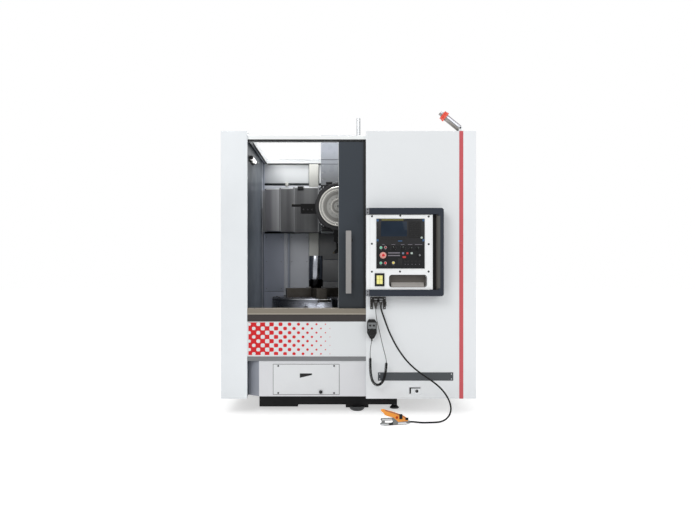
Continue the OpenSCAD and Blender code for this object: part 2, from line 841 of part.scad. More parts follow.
rocker_w = 53;
rocker_h = 73;
bezel_half_w = 40;
bezel_half_h = 54;
bezel_t = 4;
rocker_pin_r = 2.5;
rocker_pin_l = 5;
estop_collar_h = 10;
estop_collar_r = 16;
estop_neck_r = 11;
drill = 20;
module console_panel() {
    color(black) difference() {
        union() {
            block(panel_x0, panel_x0 + panel_w, -panel_face, -box_front, panel_z0,
                panel_z0 + panel_h);
            for (at = BUTTONS) on_panel(at) cylinder(h = collar_h, r = button_r + 3);
            on_panel(ESTOP_AT) cylinder(h = estop_collar_h, r = estop_collar_r);
        }
        for (at = BUTTONS) on_panel(at) translate([0, 0, -gap])
            cylinder(h = collar_h + 1, r = button_r + gap);
        for (at = BUTTONS) on_panel(at) cylinder(h = 2 * drill, r = stem_hole_r + gap, center = true);
        on_panel(ESTOP_AT) cylinder(h = 2 * drill, r = estop_neck_r + gap, center = true);
        for (at = KNOBS) on_panel(at) cylinder(h = 2 * drill, r = knob_shaft_r + fit, center = true);
    }
    color(black) difference() {
        block(rocker_x - bezel_half_w, rocker_x + bezel_half_w, -panel_face - bezel_t, -box_front,
            rocker_z - bezel_half_h, rocker_z + bezel_half_h);
        block(rocker_x - rocker_w / 2 - 1, rocker_x + rocker_w / 2 + 1, -panel_face - bezel_t - 1,
            -box_front + 1, rocker_z - rocker_h / 2 - 2, rocker_z + rocker_h / 2 + 2);
    }
    color(steel) for (s = [-1, 1])
        along_x(rocker_x + s * (rocker_w / 2 + 1) - (s > 0 ? rocker_pin_l : 0), -panel_face, rocker_z)
            cylinder(h = rocker_pin_l, r = rocker_pin_r);
}

cap_h = 4;
shaft_in = 14;
module push_button(at, shade) {
    color(shade) on_panel(at) {
        translate([0, 0, button_travel + gap]) cylinder(h = cap_h, r = button_r);
        translate([0, 0, -shaft_in]) cylinder(h = shaft_in + button_travel + gap + 1, r = stem_hole_r);
    }
}

knob_skirt_h = 6;
knob_body_h = 13;
knob_grip_h = 17;
module rotary_knob(at, r) {
    color(black) on_panel(at) {
        translate([0, 0, gap]) cylinder(h = knob_skirt_h, r = r);
        translate([0, 0, knob_skirt_h]) cylinder(h = knob_body_h, r = r * 0.72);
        translate([-r * 0.16, -r, 4]) cube([r * 0.32, 2 * r, knob_grip_h]);
        translate([0, 0, -shaft_in]) cylinder(h = shaft_in + 1, r = knob_shaft_r);
    }
}

estop_head_z = 17;
module estop_button() {
    color(red) on_panel(ESTOP_AT) {
        translate([0, 0, estop_head_z]) cylinder(h = estop_reach - estop_head_z, r = estop_r);
        translate([0, 0, -shaft_in]) cylinder(h = shaft_in + estop_head_z + 1, r = estop_neck_r);
    }
}

module power_rocker() {
    color([0.88, 0.87, 0.55]) difference() {
        translate([rocker_x - rocker_w / 2, front_y - panel_face, rocker_z])
            rotate([90, 0, 90]) linear_extrude(rocker_w)
                polygon([
                    [-9, -rocker_h / 2], [-5, 0], [-9, rocker_h / 2], [0, rocker_h / 2 - 2],
                    [4, 8], [4, -8], [0, -rocker_h / 2 + 2]]);
        for (s = [-1, 1])
            along_x(rocker_x + s * rocker_w / 2 - rocker_pin_l, -panel_face, rocker_z)
                cylinder(h = 2 * rocker_pin_l, r = rocker_pin_r + fit);
    }
}

// ---- door ----

door_x0 = open_x1 - door_show;
door_x1 = door_x0 + opening_w + door_lap;
door_z0 = sill_z + gap;
door_z1 = frame_z0 - 1;
far_stile_w = 110;
low_rail_h = 330;
top_rail_h = 130;
window_x0 = door_x0 + stile_w;
window_x1 = door_x1 - far_stile_w;
window_z0 = sill_z + low_rail_h;
window_z1 = door_z1 - top_rail_h;
window_r = 30;
glass_t = 12;
glass_set = 20;
module door_panel() {
    color(slate) difference() {
        block(door_x0, door_x1, door_front, door_back, door_z0, door_z1);
        plate_xz(door_front - 1, door_back + 1)
            round_rect(window_x0, window_x1, window_z0, window_z1, window_r);
    }
}

module door_window() {
    color([0.6, 0.7, 0.75, 0.4]) plate_xz(door_back - glass_set - glass_t, door_back - glass_set)
        round_rect(window_x0 + gap, window_x1 - gap, window_z0 + gap, window_z1 - gap, window_r);
}

handle_off = 83;
handle_up = 129;
handle_x = door_x0 + handle_off;
handle_z0 = sill_z + handle_up;
handle_stand = 44;
handle_t = 22;
handle_foot_r = 13;
HANDLE_FEET = [98, 80];
module door_handle() {
    color(steel) {
        plate_xz(door_front - handle_stand - handle_t, door_front - handle_stand)
            round_rect(handle_x - handle_w / 2, handle_x + handle_w / 2, handle_z0,
                handle_z0 + handle_l, 4);
        for (z = [handle_z0 + HANDLE_FEET[0], handle_z0 + handle_l - HANDLE_FEET[1]])
            facing_back(handle_x, door_front - handle_stand, z)
                cylinder(h = handle_stand, r = handle_foot_r);
    }
}

// ---- chuck, jaws and workpiece ----

jaw_r0 = stem_r;
slot_floor = 30;
foot_w = jaw_w + 28;
foot_h = 16;
foot_set = 20;
slot_end = 4;
groove_w = 6;
groove_depth = 3;
GROOVES = [190, 330];
chuck_neck_r = 180;

module at_jaw(i) {
    upright(chuck_x, chuck_d, chuck_z) rotate([0, 0, jaw_angle + 90 * i]) children();
}

module chuck_body() {
    color(dark_steel) difference() {
        union() {
            upright(chuck_x, chuck_d, chuck_z - chuck_h)
                cylinder(h = chuck_h, r = chuck_r, $fn = FINE);
            upright(chuck_x, chuck_d, housing_top + gap)
                cylinder(h = chuck_z - chuck_h - housing_top, r = chuck_neck_r, $fn = FINE);
            upright(chuck_x, chuck_d, housing_z0 + 40)
                cylinder(h = housing_top - housing_z0, r = spindle_r, $fn = FINE);
        }
        for (i = [0:3]) at_jaw(i) {
            translate([jaw_r0 - slot_end, -jaw_w / 2 - gap, -slot_floor + foot_h])
                cube([chuck_r, jaw_w + 2 * gap, slot_floor]);
            translate([jaw_r0 - slot_end, -foot_w / 2 - gap, -slot_floor - gap])
                cube([chuck_r, foot_w + 2 * gap, foot_h + 2 * gap]);
        }
        upright(chuck_x, chuck_d, chuck_z - slot_floor - gap)
            cylinder(h = slot_floor + 1, r = stem_r + 12, $fn = FINE);
        for (r = GROOVES) upright(chuck_x, chuck_d, chuck_z - groove_depth) difference() {
            cylinder(h = 2 * groove_depth, r = r + groove_w / 2, $fn = FINE);
            translate([0, 0, -1]) cylinder(h = 3 * groove_depth, r = r - groove_w / 2, $fn = FINE);
        }
    }
}

// The quarter of the chuck that belongs to one jaw, a clearance away from its neighbours'.
module jaw_quarter() {
    translate([gap, 0, -chuck_h]) linear_extrude(chuck_h + 2 * jaw_h)
        polygon([[0, 0], [2 * chuck_r, -2 * chuck_r], [2 * chuck_r, 2 * chuck_r]]);
}

module jaw(i) {
    color(dark_steel) at_jaw(i) intersection() {
        jaw_quarter();
        jaw_shape();
    }
}

jaw_screw_r = 13;
jaw_screw_depth = 22;
module jaw_shape() {
    difference() {
        union() {
            translate([jaw_r0 + gap, -jaw_w / 2, -slot_floor + foot_h - 1])
                cube([jaw_l, jaw_w, slot_floor - foot_h + 1 + jaw_h]);
            translate([jaw_r0 + foot_set, -foot_w / 2, -slot_floor])
                cube([jaw_l - foot_set, foot_w, foot_h]);
        }
        translate([0, 0, -slot_floor - 1])
            cylinder(h = slot_floor + jaw_h + 2, r = stem_r + gap, $fn = FINE);
        for (r = [jaw_l * 0.45, jaw_l * 0.85])
            translate([jaw_r0 + r, 0, jaw_h - jaw_screw_depth])
                cylinder(h = jaw_screw_depth + 1, r = jaw_screw_r);
    }
}

work_base = jaw_h + 12;
collar_r = work_r + 3;
collar_z1 = work_base + 63;
groove_r = work_r - 4;
groove_z1 = collar_z1 + 6;
work_top = jaw_h + work_h;
recess_r = work_r - 10;
recess_z = work_top - 12;
module workpiece() {
    color(steel) upright(chuck_x, chuck_d, chuck_z) rotate_extrude($fn = FINE) polygon([
        [0, -slot_floor], [stem_r, -slot_floor], [stem_r, work_base], [collar_r, work_base],
        [collar_r, collar_z1], [groove_r, collar_z1], [groove_r, groove_z1], [work_r, groove_z1],
        [work_r, work_top], [recess_r, work_top], [recess_r, recess_z], [0, recess_z]]);
}

// ---- cross slide: telescopic covers, saddle, ram ----

// A U-shaped sleeve round the slide, open at the back. Its outside is that of
// section n of the cover, and it leaves the room inside that the inset gives.
module cover_sleeve(x0, x1, n, inset) {
    front = cover_front + n * x_cover_step;
    z0 = cover_z0 + n * x_cover_step;
    z1 = cover_z0 + x_cover_h - n * x_cover_step;
    difference() {
        block(x0, x1, front, cover_back, z0, z1);
        block(x0 - 1, x1 + 1, front + inset, cover_back + 1, z0 + inset, z1 - inset);
    }
}

// A moving section of the cover, with a wiper at x that rides on the next one.
module moving_section(x0, x1, n, wiper_x) {
    cover_sleeve(x0, x1, n, sheet);
    cover_sleeve(wiper_x, wiper_x + wiper_l, n, x_cover_step - gap);
}

cover_wall_gap = 50;
wiper_l = 8;
left_reach = saddle_x0 - open_x0 - cover_wall_gap;
right_reach = wall_x1 - saddle_x1;
left_step = (left_reach - x_section_l) / 2;
right_step = (right_reach - x_section_l) / 2;

bridge_t = 12;
module x_cover_fixed() {
    color(stainless) {
        cover_sleeve(open_x0 + cover_wall_gap, open_x0 + cover_wall_gap + x_section_l, 2, sheet);
        cover_sleeve(wall_x1 - x_section_l, wall_x1, 2, sheet);
        block(open_x0, open_x0 + cover_wall_gap, cover_back - bridge_t, cover_back,
            cover_z0 + 2 * x_cover_step, cover_z0 + x_cover_h - 2 * x_cover_step);
    }
}

module x_cover_mid() {
    x0 = open_x0 + cover_wall_gap + left_step;
    x1 = wall_x1 - right_step;
    color(stainless) {
        moving_section(x0, x0 + x_section_l, 1, x0);
        moving_section(x1 - x_section_l, x1, 1, x1 - wiper_l);
    }
}

module x_cover_inner() {
    color(stainless) {
        moving_section(saddle_x0 - x_section_l, saddle_x0, 0, saddle_x0 - x_section_l);
        moving_section(saddle_x1, saddle_x1 + x_section_l, 0, saddle_x1 + x_section_l - wiper_l);
    }
}

nut_half = 50;
nut_h = 90;
nut_front = z_screw_d - 35;
carriage_l = 100;
carriage_half = 45;
carriage_gap = 2;
x_nut_half_w = 30;
x_nut_half_h = 40;
z_carriage_half = 40;
z_carriage_up = 160;
nut_z0 = saddle_z1 - carriage_l;
barrel_foot_z0 = 6;
barrel_foot_z1 = 60;
flange_z1 = rail_z + flange_half;
module saddle() {
    color(iron) difference() {
        union() {
            block(saddle_x0, saddle_x1, saddle_front, saddle_front + saddle_t, saddle_z0, saddle_z1);
            block(saddle_x0, saddle_x0 + flange_t, cover_front, saddle_front, saddle_z0, flange_z1);
            block(saddle_x1 - flange_t, saddle_x1, cover_front, saddle_front, saddle_z0, flange_z1);
            for (x = [saddle_x0 + 20, saddle_x1 - 20 - carriage_l], s = [-1, 1])
                block(x, x + carriage_l, saddle_front + saddle_t, rail_front - carriage_gap,
                    rail_z + s * x_rail_gap / 2 - carriage_half,
                    rail_z + s * x_rail_gap / 2 + carriage_half);
            block(turret_x - x_nut_half_w, turret_x + x_nut_half_w, saddle_front + saddle_t,
                rail_front - carriage_gap, rail_z - x_nut_half_h, rail_z + x_nut_half_h);
            for (s = [-1, 1], z = [saddle_z0 + z_carriage_up, saddle_z1 - carriage_l])
                block(turret_x + s * z_rail_off - z_carriage_half,
                    turret_x + s * z_rail_off + z_carriage_half, ram_back + carriage_gap,
                    saddle_front, z, z + carriage_l);
            block(turret_x - nut_half, turret_x + nut_half, nut_front, saddle_front, nut_z0,
                nut_z0 + nut_h);
            block(ram_x1 + 4, saddle_x1 - flange_t, barrel_d - 30, saddle_front,
                barrel_z0 + barrel_foot_z0, barrel_z0 + barrel_foot_z1);
        }
        for (s = [-1, 1]) block(saddle_x0 - 1, saddle_x1 + 1, rail_front - guide_t - gap, rail_front,
            rail_z + s * x_rail_gap / 2 - rail_w / 2 - gap,
            rail_z + s * x_rail_gap / 2 + rail_w / 2 + gap);
        along_x(turret_x - x_nut_half_w - 1, x_screw_d, rail_z)
            cylinder(h = 2 * x_nut_half_w + 2, r = screw_r + fit);
        for (s = [-1, 1]) block(turret_x + s * z_rail_off - z_rail_w / 2 - gap,
            turret_x + s * z_rail_off + z_rail_w / 2 + gap, ram_back, ram_back + z_rail_t + gap,
            saddle_z0, saddle_z1);
        upright(turret_x, z_screw_d, nut_z0 - 1) cylinder(h = nut_h + 2, r = screw_r + fit);
        upright(barrel_x, barrel_d, barrel_z0) cylinder(h = 80, r = rod_r + fit);
        upright(barrel_x, barrel_d, barrel_z0 + gland_l) cylinder(h = 80, r = piston_r + fit);
    }
    color([0.86, 0.87, 0.88]) upright(barrel_x, barrel_d, barrel_z0) difference() {
        cylinder(h = barrel_top - barrel_z0, r = barrel_r);
        translate([0, 0, -1]) cylinder(h = gland_l + 2, r = rod_r + fit);
        translate([0, 0, gland_l]) cylinder(h = barrel_top - barrel_z0 - gland_l - 10, r = piston_r + fit);
    }
}

gland_l = 30;
barrel_up = 390;
screw_block_up = 770;
barrel_z0 = ram_z0 + barrel_up;
screw_block_z = ram_z0 + screw_block_up;
end_wall = 30;
motor_half_w = 55;
motor_front = 55;
motor_back = 48;
motor_h = 120;
rod_foot_half = 18;
rod_foot_z0 = 20;
rod_foot_z1 = 50;
rod_l = 680;
piston_h = 20;
module ram() {
    color([0.72, 0.75, 0.8]) difference() {
        block(ram_x0, ram_x1, ram_d, ram_back, ram_z0, ram_z1);
        block(ram_x0 + ram_wall, ram_x1 - ram_wall, ram_d + ram_wall, ram_back - ram_wall,
            ram_z0 + end_wall, screw_block_z);
        block(ram_x0 + ram_wall, ram_x1 - ram_wall, ram_d + ram_wall, ram_back - ram_wall,
            screw_block_z + end_wall, ram_z1 - ram_wall);
        block(turret_x - slot_half, turret_x + slot_half, ram_d + ram_wall, ram_back + 1,
            ram_z0 + end_wall, screw_block_z);
    }
    color(steel) {
        for (s = [-1, 1]) block(turret_x + s * z_rail_off - z_rail_w / 2,
            turret_x + s * z_rail_off + z_rail_w / 2, ram_back, ram_back + z_rail_t, ram_z0 + 10,
            ram_z1 - 10);
        upright(turret_x, z_screw_d, ram_z0 + end_wall)
            cylinder(h = screw_block_up - end_wall, r = screw_r);
        block(turret_x - motor_half_w, turret_x + motor_half_w, z_screw_d - motor_front,
            z_screw_d + motor_back, screw_block_z + end_wall, screw_block_z + end_wall + motor_h);
        block(ram_x1, barrel_x + rod_foot_half, barrel_d - rod_foot_half, barrel_d + rod_foot_half,
            ram_z0 + rod_foot_z0, ram_z0 + rod_foot_z1);
        upright(barrel_x, barrel_d, ram_z0 + rod_foot_z1) cylinder(h = rod_l, r = rod_r);
        upright(barrel_x, barrel_d, ram_z0 + rod_foot_z1 + rod_l) cylinder(h = piston_h, r = piston_r);
    }
}

// ---- turret ----

turret_half_w = 168;
turret_down = 216;
turret_up = 212;
shaft_bore_l = 85;
module turret_housing() {
    color(black) difference() {
        block(turret_x - turret_half_w, turret_x + turret_half_w, housing_front, ram_d,
            turret_z - turret_down, turret_z + turret_up);
        facing_back(turret_x, housing_front - 1, turret_z)
            cylinder(h = shaft_bore_l + 1, r = turret_shaft_r + fit, $fn = FINE);
    }
}

stations = 8;
notch_w = 40;
notch_depth = 8;
face_t = 20;
face_groove_w = 8;
FACE_GROOVES = [150, 110];
hub_r = 62;
hub_h = 13;
disc_neck_r = 110;
shaft_l = 80;
module turret_disc() {
    color(iron) difference() {
        facing_back(turret_x, disc_front, turret_z) cylinder(h = disc_t, r = disc_r, $fn = FINE);
        for (i = [0:stations - 1]) translate([turret_x, front_y + disc_front, turret_z])
            rotate([0, 360 / stations * (i + 0.5), 0])
                translate([-notch_w / 2, -1, disc_r - notch_depth])
                    cube([notch_w, disc_t + 2, 2 * notch_depth]);
    }
    color(steel) {
        facing_back(turret_x, disc_front - face_t, turret_z) difference() {
            cylinder(h = face_t, r = face_r, $fn = FINE);
            for (r = FACE_GROOVES) translate([0, 0, -1]) difference() {
                cylinder(h = 3, r = r, $fn = FINE);
                translate([0, 0, -1]) cylinder(h = 5, r = r - face_groove_w, $fn = FINE);
            }
        }
        facing_back(turret_x, disc_front - face_t - hub_h + 1, turret_z)
            cylinder(h = hub_h, r = hub_r, $fn = FINE);
        facing_back(turret_x, disc_back, turret_z)
            cylinder(h = housing_front - disc_back - gap, r = disc_neck_r, $fn = FINE);
        facing_back(turret_x, disc_back, turret_z)
            cylinder(h = housing_front - disc_back + shaft_l, r = turret_shaft_r, $fn = FINE);
    }
}

// A turning tool at nine o'clock and a boring bar at six o'clock.
tool_mid = disc_front + 35;
holder_w = 87;
holder_l = 133;
holder_half_d = 40;
tool_lap = 15;
shank_half = 12;
shank_z0 = 2;
block_half = 45;
block_l = 104;
bar_r = 22;
bar_tip = 20;
bar_l = tip_r - disc_r - 120;
cutter_half = 14;
module turning_tools() {
    color(black) difference() {
        union() {
            block(turret_x - disc_r - holder_l, turret_x - disc_r + tool_lap, tool_mid - holder_half_d,
                tool_mid + holder_half_d, turret_z - holder_w * 0.7, turret_z + holder_w * 0.3);
            block(turret_x - tip_r, turret_x - disc_r - holder_l + 1, tool_mid - shank_half,
                tool_mid + shank_half, turret_z + shank_z0, turret_z + shank_z0 + 22);
            block(turret_x - block_half, turret_x + block_half, tool_mid - block_half,
                tool_mid + block_half, turret_z - disc_r - block_l, turret_z - disc_r + tool_lap);
            upright(turret_x, tool_mid, turret_z - tip_r + bar_tip) cylinder(h = bar_l, r = bar_r);
        }
        facing_back(turret_x, disc_front - 30, turret_z)
            cylinder(h = disc_t + 60, r = disc_r + fit, $fn = FINE);
    }
    color(dark_steel) plate_xz(tool_mid - cutter_half, tool_mid + cutter_half) polygon([
        [turret_x + 22, turret_z - tip_r + 22], [turret_x - 24, turret_z - tip_r + 46],
        [turret_x - 60, turret_z - tip_r], [turret_x - 20, turret_z - tip_r + 4]]);
}

// ---- signal lamp ----

lamp_pin_r = 5;
lamp_neck = 30;
neck_half = 14;
lens_flange_h = 16;
lens_flange_w = 4;
lens_h = 23;
cap_r0 = 21;
cap_r1 = 18;
lamp_cap_h = 28;
lamp_pin_l = 66;
lens_top = lamp_tube_l + lens_flange_h + lens_h;
module signal_lamp() {
    translate([lamp_x, front_y + lamp_d, lamp_z]) rotate([0, lamp_tilt - 90, 0]) {
        color(steel) {
            difference() {
                union() {
                    translate([-neck_half, -lamp_ear / 2, -neck_half])
                        cube([2 * neck_half, lamp_ear, lamp_neck + neck_half]);
                    intersection() {
                        cylinder(h = lamp_neck, r = lamp_tube_r);
                        translate([-lamp_tube_r, -lamp_ear / 2, 0])
                            cube([2 * lamp_tube_r, lamp_ear, lamp_neck]);
                    }
                }
                rotate([90, 0, 0]) cylinder(h = 60, r = lamp_pin_r + fit, center = true);
            }
            translate([0, 0, lamp_neck - 1]) cylinder(h = lamp_tube_l - lamp_neck + 1, r = lamp_tube_r);
        }
        color([0.9, 0.35, 0.2]) {
            translate([0, 0, lamp_tube_l]) cylinder(h = lens_flange_h, r = lamp_lens_r + lens_flange_w);
            translate([0, 0, lamp_tube_l + lens_flange_h]) cylinder(h = lens_h, r = lamp_lens_r);
        }
        color(steel) translate([0, 0, lens_top]) cylinder(h = lamp_cap_h, r1 = cap_r0, r2 = cap_r1);
    }
    color(steel) facing_back(lamp_x, lamp_d - lamp_pin_l / 2, lamp_z)
        cylinder(h = lamp_pin_l, r = lamp_pin_r);
}

// ---- handwheel pendant ----

mpg_front = mpg_back + mpg_t;
mpg_dial_z = mpg_top - 108;
mpg_switch_z = mpg_top - 50;
mpg_switch_x = 16;
mpg_chamfer_w = 16;
mpg_chamfer_h = 22;
mpg_tail_half = 17;
mpg_tail_h = 44;
dial_shaft_r = 4;
dial_shaft_l = 19;
switch_shaft_r = 3;
switch_shaft_l = 15;
module mpg_body() {
    color(black) difference() {
        plate_xz(-mpg_front, -mpg_back) polygon([
            [mpg_x - mpg_w / 2 + mpg_chamfer_w, mpg_top], [mpg_x - mpg_w / 2, mpg_top - mpg_chamfer_h],
            [mpg_x - mpg_w / 2, mpg_top - mpg_h + mpg_tail_h], [mpg_x - mpg_tail_half, mpg_top - mpg_h],
            [mpg_x + mpg_tail_half, mpg_top - mpg_h], [mpg_x + mpg_w / 2, mpg_top - mpg_h + mpg_tail_h],
            [mpg_x + mpg_w / 2, mpg_top - mpg_chamfer_h],
            [mpg_x + mpg_w / 2 - mpg_chamfer_w, mpg_top]]);
        facing_back(mpg_x, -mpg_front - 1, mpg_dial_z)
            cylinder(h = dial_shaft_l + 2, r = dial_shaft_r + fit);
        for (s = [-1, 1]) facing_back(mpg_x + s * mpg_switch_x, -mpg_front - 1, mpg_switch_z)
            cylinder(h = switch_shaft_l + 1, r = switch_shaft_r + fit);
    }
}

// A knob on the handwheel pendant's face, with its shaft reaching into the body.
module mpg_knob(x, z, r, h, shaft_r, shaft_l) {
    facing_back(x, -mpg_front - gap - h, z) cylinder(h = h, r = r);
    facing_back(x, -mpg_front - gap - 1, z) cylinder(h = shaft_l, r = shaft_r);
}

dial_h = 12;
crank_h = 8;
crank_r = 5;
switch_r = 9;
switch_h = 7;
switch_grip_h = 12;
switch_grip_half = 2;
module mpg_dial() {
    color(iron) {
        mpg_knob(mpg_x, mpg_dial_z, mpg_dial_r, dial_h, dial_shaft_r, dial_shaft_l);
        facing_back(mpg_x + mpg_dial_r * 0.6, -mpg_front - gap - dial_h - crank_h, mpg_dial_z)
            cylinder(h = crank_h + 1, r = crank_r);
    }
}

module mpg_switch(s) {
    color(iron) {
        mpg_knob(mpg_x + s * mpg_switch_x, mpg_switch_z, switch_r, switch_h, switch_shaft_r,
            switch_shaft_l);
        block(mpg_x + s * mpg_switch_x - switch_grip_half, mpg_x + s * mpg_switch_x + switch_grip_half,
            -mpg_front - gap - switch_grip_h, -mpg_front - gap - switch_h + 1,
            mpg_switch_z - switch_r, mpg_switch_z + switch_r);
    }
}

// ---- cords ----

// Route points are [x, depth, z]; the depth is negative in front of the covers.
MPG_UPPER = [
    [230, -32, 904.8], [230, -32, 880], [233, -38, 845], [240, -42, 800], [252, -45, 750],
    [266, -48, 690], [280, -51, 625], [295, -54, 565], [308, -57, 515], [315, -59, 482],
    [317, -60, 460]];
MPG_CURL = [
    [317, -60, 460], [315, -62, 429], [310, -63, 386], [303, -64, 345], [292, -65, 310],
    [274, -65, 283], [252, -65, 269], [228, -65, 271], [207, -65, 289], [194, -65, 319],
    [186, -64, 357], [182, -63, 403], [181, -61, 449], [182, -59, 500]];
MPG_LOWER = [
    [182, -59, 500], [181, -56, 524], [182, -51, 552], [186, -44, 584], [192, -34, 616],
    [197, -23, 640], [197, -22.8, 655.8]];
EARTH = [
    [272, -32, 937.7], [272, -32, 915], [277, -34, 893], [288, -36, 862], [303, -38, 818],
    [321, -41, 767], [340, -45, 717], [362, -50, 668], [388, -56, 617], [417, -63, 567],
    [449, -72, 520], [483, -82, 477], [520, -93, 438], [558, -105, 405], [600, -119, 374],
    [642, -133, 347], [683, -148, 320], [720, -162, 293], [753, -176, 264], [781, -190, 231],
    [804, -203, 195], [820, -215, 157], [828, -226, 119], [823, -236, 82], [806, -245, 50],
    [779, -253, 26], [744, -259, 12], [704, -264, 7.5], [664, -268, 7.5], [624, -271, 7.5],
    [584, -274, 7.5], [546, -278, 12], [513, -284, 17.5], [484.4, -290, 18.5]];
mpg_wire = 5.2;
earth_wire = 14;
curl_od = 24;

function along(p, i) = let (a = p[max(i - 1, 0)], b = p[min(i + 1, len(p) - 1)], v = b - a) v / norm(v);
function side_of(t) = let (s = cross(t, abs(t[1]) > 0.9 ? [0, 0, 1] : [0, 1, 0])) s / norm(s);
function ring(p, i, r, sides) = let (t = along(p, i), u = side_of(t), v = cross(t, u))
    [for (k = [0:sides - 1]) p[i] + r * (cos(360 * k / sides) * u + sin(360 * k / sides) * v)];

// A tube of the given diameter swept along a route.
module swept(p, d, sides) {
    n = len(p);
    points = [for (i = [0:n - 1]) each ring(p, i, d / 2, sides)];
    walls = [for (i = [0:n - 2], k = [0:sides - 1])
        [i * sides + k, i * sides + (k + 1) % sides, (i + 1) * sides + (k + 1) % sides,
            (i + 1) * sides + k]];
    first = [for (k = [sides - 1:-1:0]) k];
    last = [for (k = [0:sides - 1]) (n - 1) * sides + k];
    translate([0, front_y, 0]) polyhedron(points = points, faces = concat(walls, [first, last]));
}

module mpg_leads() {
    color(black) {
        swept(MPG_UPPER, mpg_wire, 8);
        swept(MPG_LOWER, mpg_wire, 8);
    }
}

module mpg_curl() {
    color(black) swept(MPG_CURL, curl_od, 10);
}

module earth_cable() {
    color(black) swept(EARTH, earth_wire, 10);
}

// ---- earth clamp, lying on the floor ----

// Children built with the cable end above the origin and the handles towards -X.
CLAMP_AT = [484, -290, 0.5];
clamp_turn = 12;
module clamp_frame() {
    translate([CLAMP_AT[0], front_y + CLAMP_AT[1], CLAMP_AT[2]]) rotate([0, 0, clamp_turn]) children();
}

// An outline in the clamp's X and Z, given a width across it.
module clamp_plate(w) {
    translate([0, w / 2, 0]) rotate([90, 0, 0]) linear_extrude(w) children();
}

clamp_w = 24;
clamp_slot = 17;
clamp_pin_r = 4;
clamp_pivot = [-110, 61];
sleeve_l = 30;
sleeve_r = 11;
sleeve_z = 18;
module clamp_bore(r) {
    translate([clamp_pivot[0], 0, clamp_pivot[1]]) rotate([90, 0, 0])
        cylinder(h = clamp_w, r = r, center = true);
}

module clamp_lower() {
    clamp_frame() {
        color(steel) difference() {
            clamp_plate(clamp_slot - 1) difference() {
                polygon([
                    [-14, 2], [-14, 30], [-60, 32], [-86, 46], [-98, 72], [-122, 72], [-134, 57],
                    [-234, 57], [-240, 52], [-240, 44], [-232, 38], [-232, 24], [-243, 18],
                    [-236, 6], [-205, 0], [-30, 0]]);
                polygon([[-208, 20], [-208, 39], [-150, 39], [-134, 30], [-150, 17]]);
            }
            clamp_bore(clamp_pin_r + fit);
        }
        color(black) translate([0, 0, sleeve_z]) rotate([0, -90, 0]) cylinder(h = sleeve_l, r = sleeve_r);
    }
}

module clamp_upper() {
    clamp_frame() {
        color([0.93, 0.5, 0.12]) difference() {
            clamp_plate(clamp_w) polygon([
                [-19, 27], [-14, 38], [-17, 49], [-30, 57], [-61, 77], [-97, 89], [-129, 102],
                [-181, 118], [-217, 131], [-230, 128], [-238, 119], [-233, 112], [-214, 98], [-207, 84],
                [-191, 77], [-137, 60], [-97, 24]]);
            clamp_plate(clamp_slot) polygon([
                [-5, 10], [-5, 40], [-40, 54], [-92, 78], [-126, 80], [-137, 75], [-214, 102],
                [-222, 90], [-160, 10]]);
        }
        color(steel) clamp_bore(clamp_pin_r);
    }
}

// ---- the machine ----

base_casting();
levelling_feet();
column_casting();
spindle_housing();
chamber_walls();
chip_tray();
top_frame();
outer_panels();
left_front_cover();
right_front_cover();
red_stripe();
door_sill();
dot_panel();
lower_apron();
access_cover();
front_fittings();
electrical_cabinet();
socket_bracket();
pendant_frame();
x_cover_fixed();
door_panel();
door_window();
door_handle();
pendant_box();
console_panel();
estop_button();
power_rocker();
rotary_knob(FEED_AT, dial_knob_r);  // feed_knob
rotary_knob(SPEED_AT, dial_knob_r);  // speed_knob
rotary_knob(MODE_AT, small_knob_r);  // mode_knob
rotary_knob(RAPID_AT, small_knob_r);  // rapid_knob
rotary_knob(LOCK_AT, small_knob_r);  // lock_knob
push_button(START_AT, "seagreen");  // start_button
push_button(STOP_AT, red);  // stop_button
push_button(CYCLE_AT, "seagreen");  // cycle_button
push_button(HOLD_AT, red);  // hold_button
push_button(LAMP_AT, "gold");  // lamp_button
chuck_body();
workpiece();
jaw(0);  // jaw_1
jaw(1);  // jaw_2
jaw(2);  // jaw_3
jaw(3);  // jaw_4
x_cover_mid();
x_cover_inner();
saddle();
ram();
turret_housing();
turret_disc();
turning_tools();
signal_lamp();
mpg_body();
mpg_dial();
mpg_switch(-1);  // mpg_axis_knob
mpg_switch(1);  // mpg_step_knob
mpg_leads();
mpg_curl();
earth_cable();
clamp_lower();
clamp_upper();
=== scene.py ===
# %% [markdown]
# # A vertical lathe, dressed piece by piece
# The construction model comes in as a fixed frame: every casting, cover and knob already sits
# where it belongs, in metres. This lesson never moves those nodes. It gives them real finishes,
# adds the pieces that a plain construction model leaves out, and lays the cords.
# We load the frame first, because every later position is read from it.

# %% Load the frame
from math import cos, degrees, pi, radians, sin
import bmesh
import bpy
from mathutils import Matrix, Vector


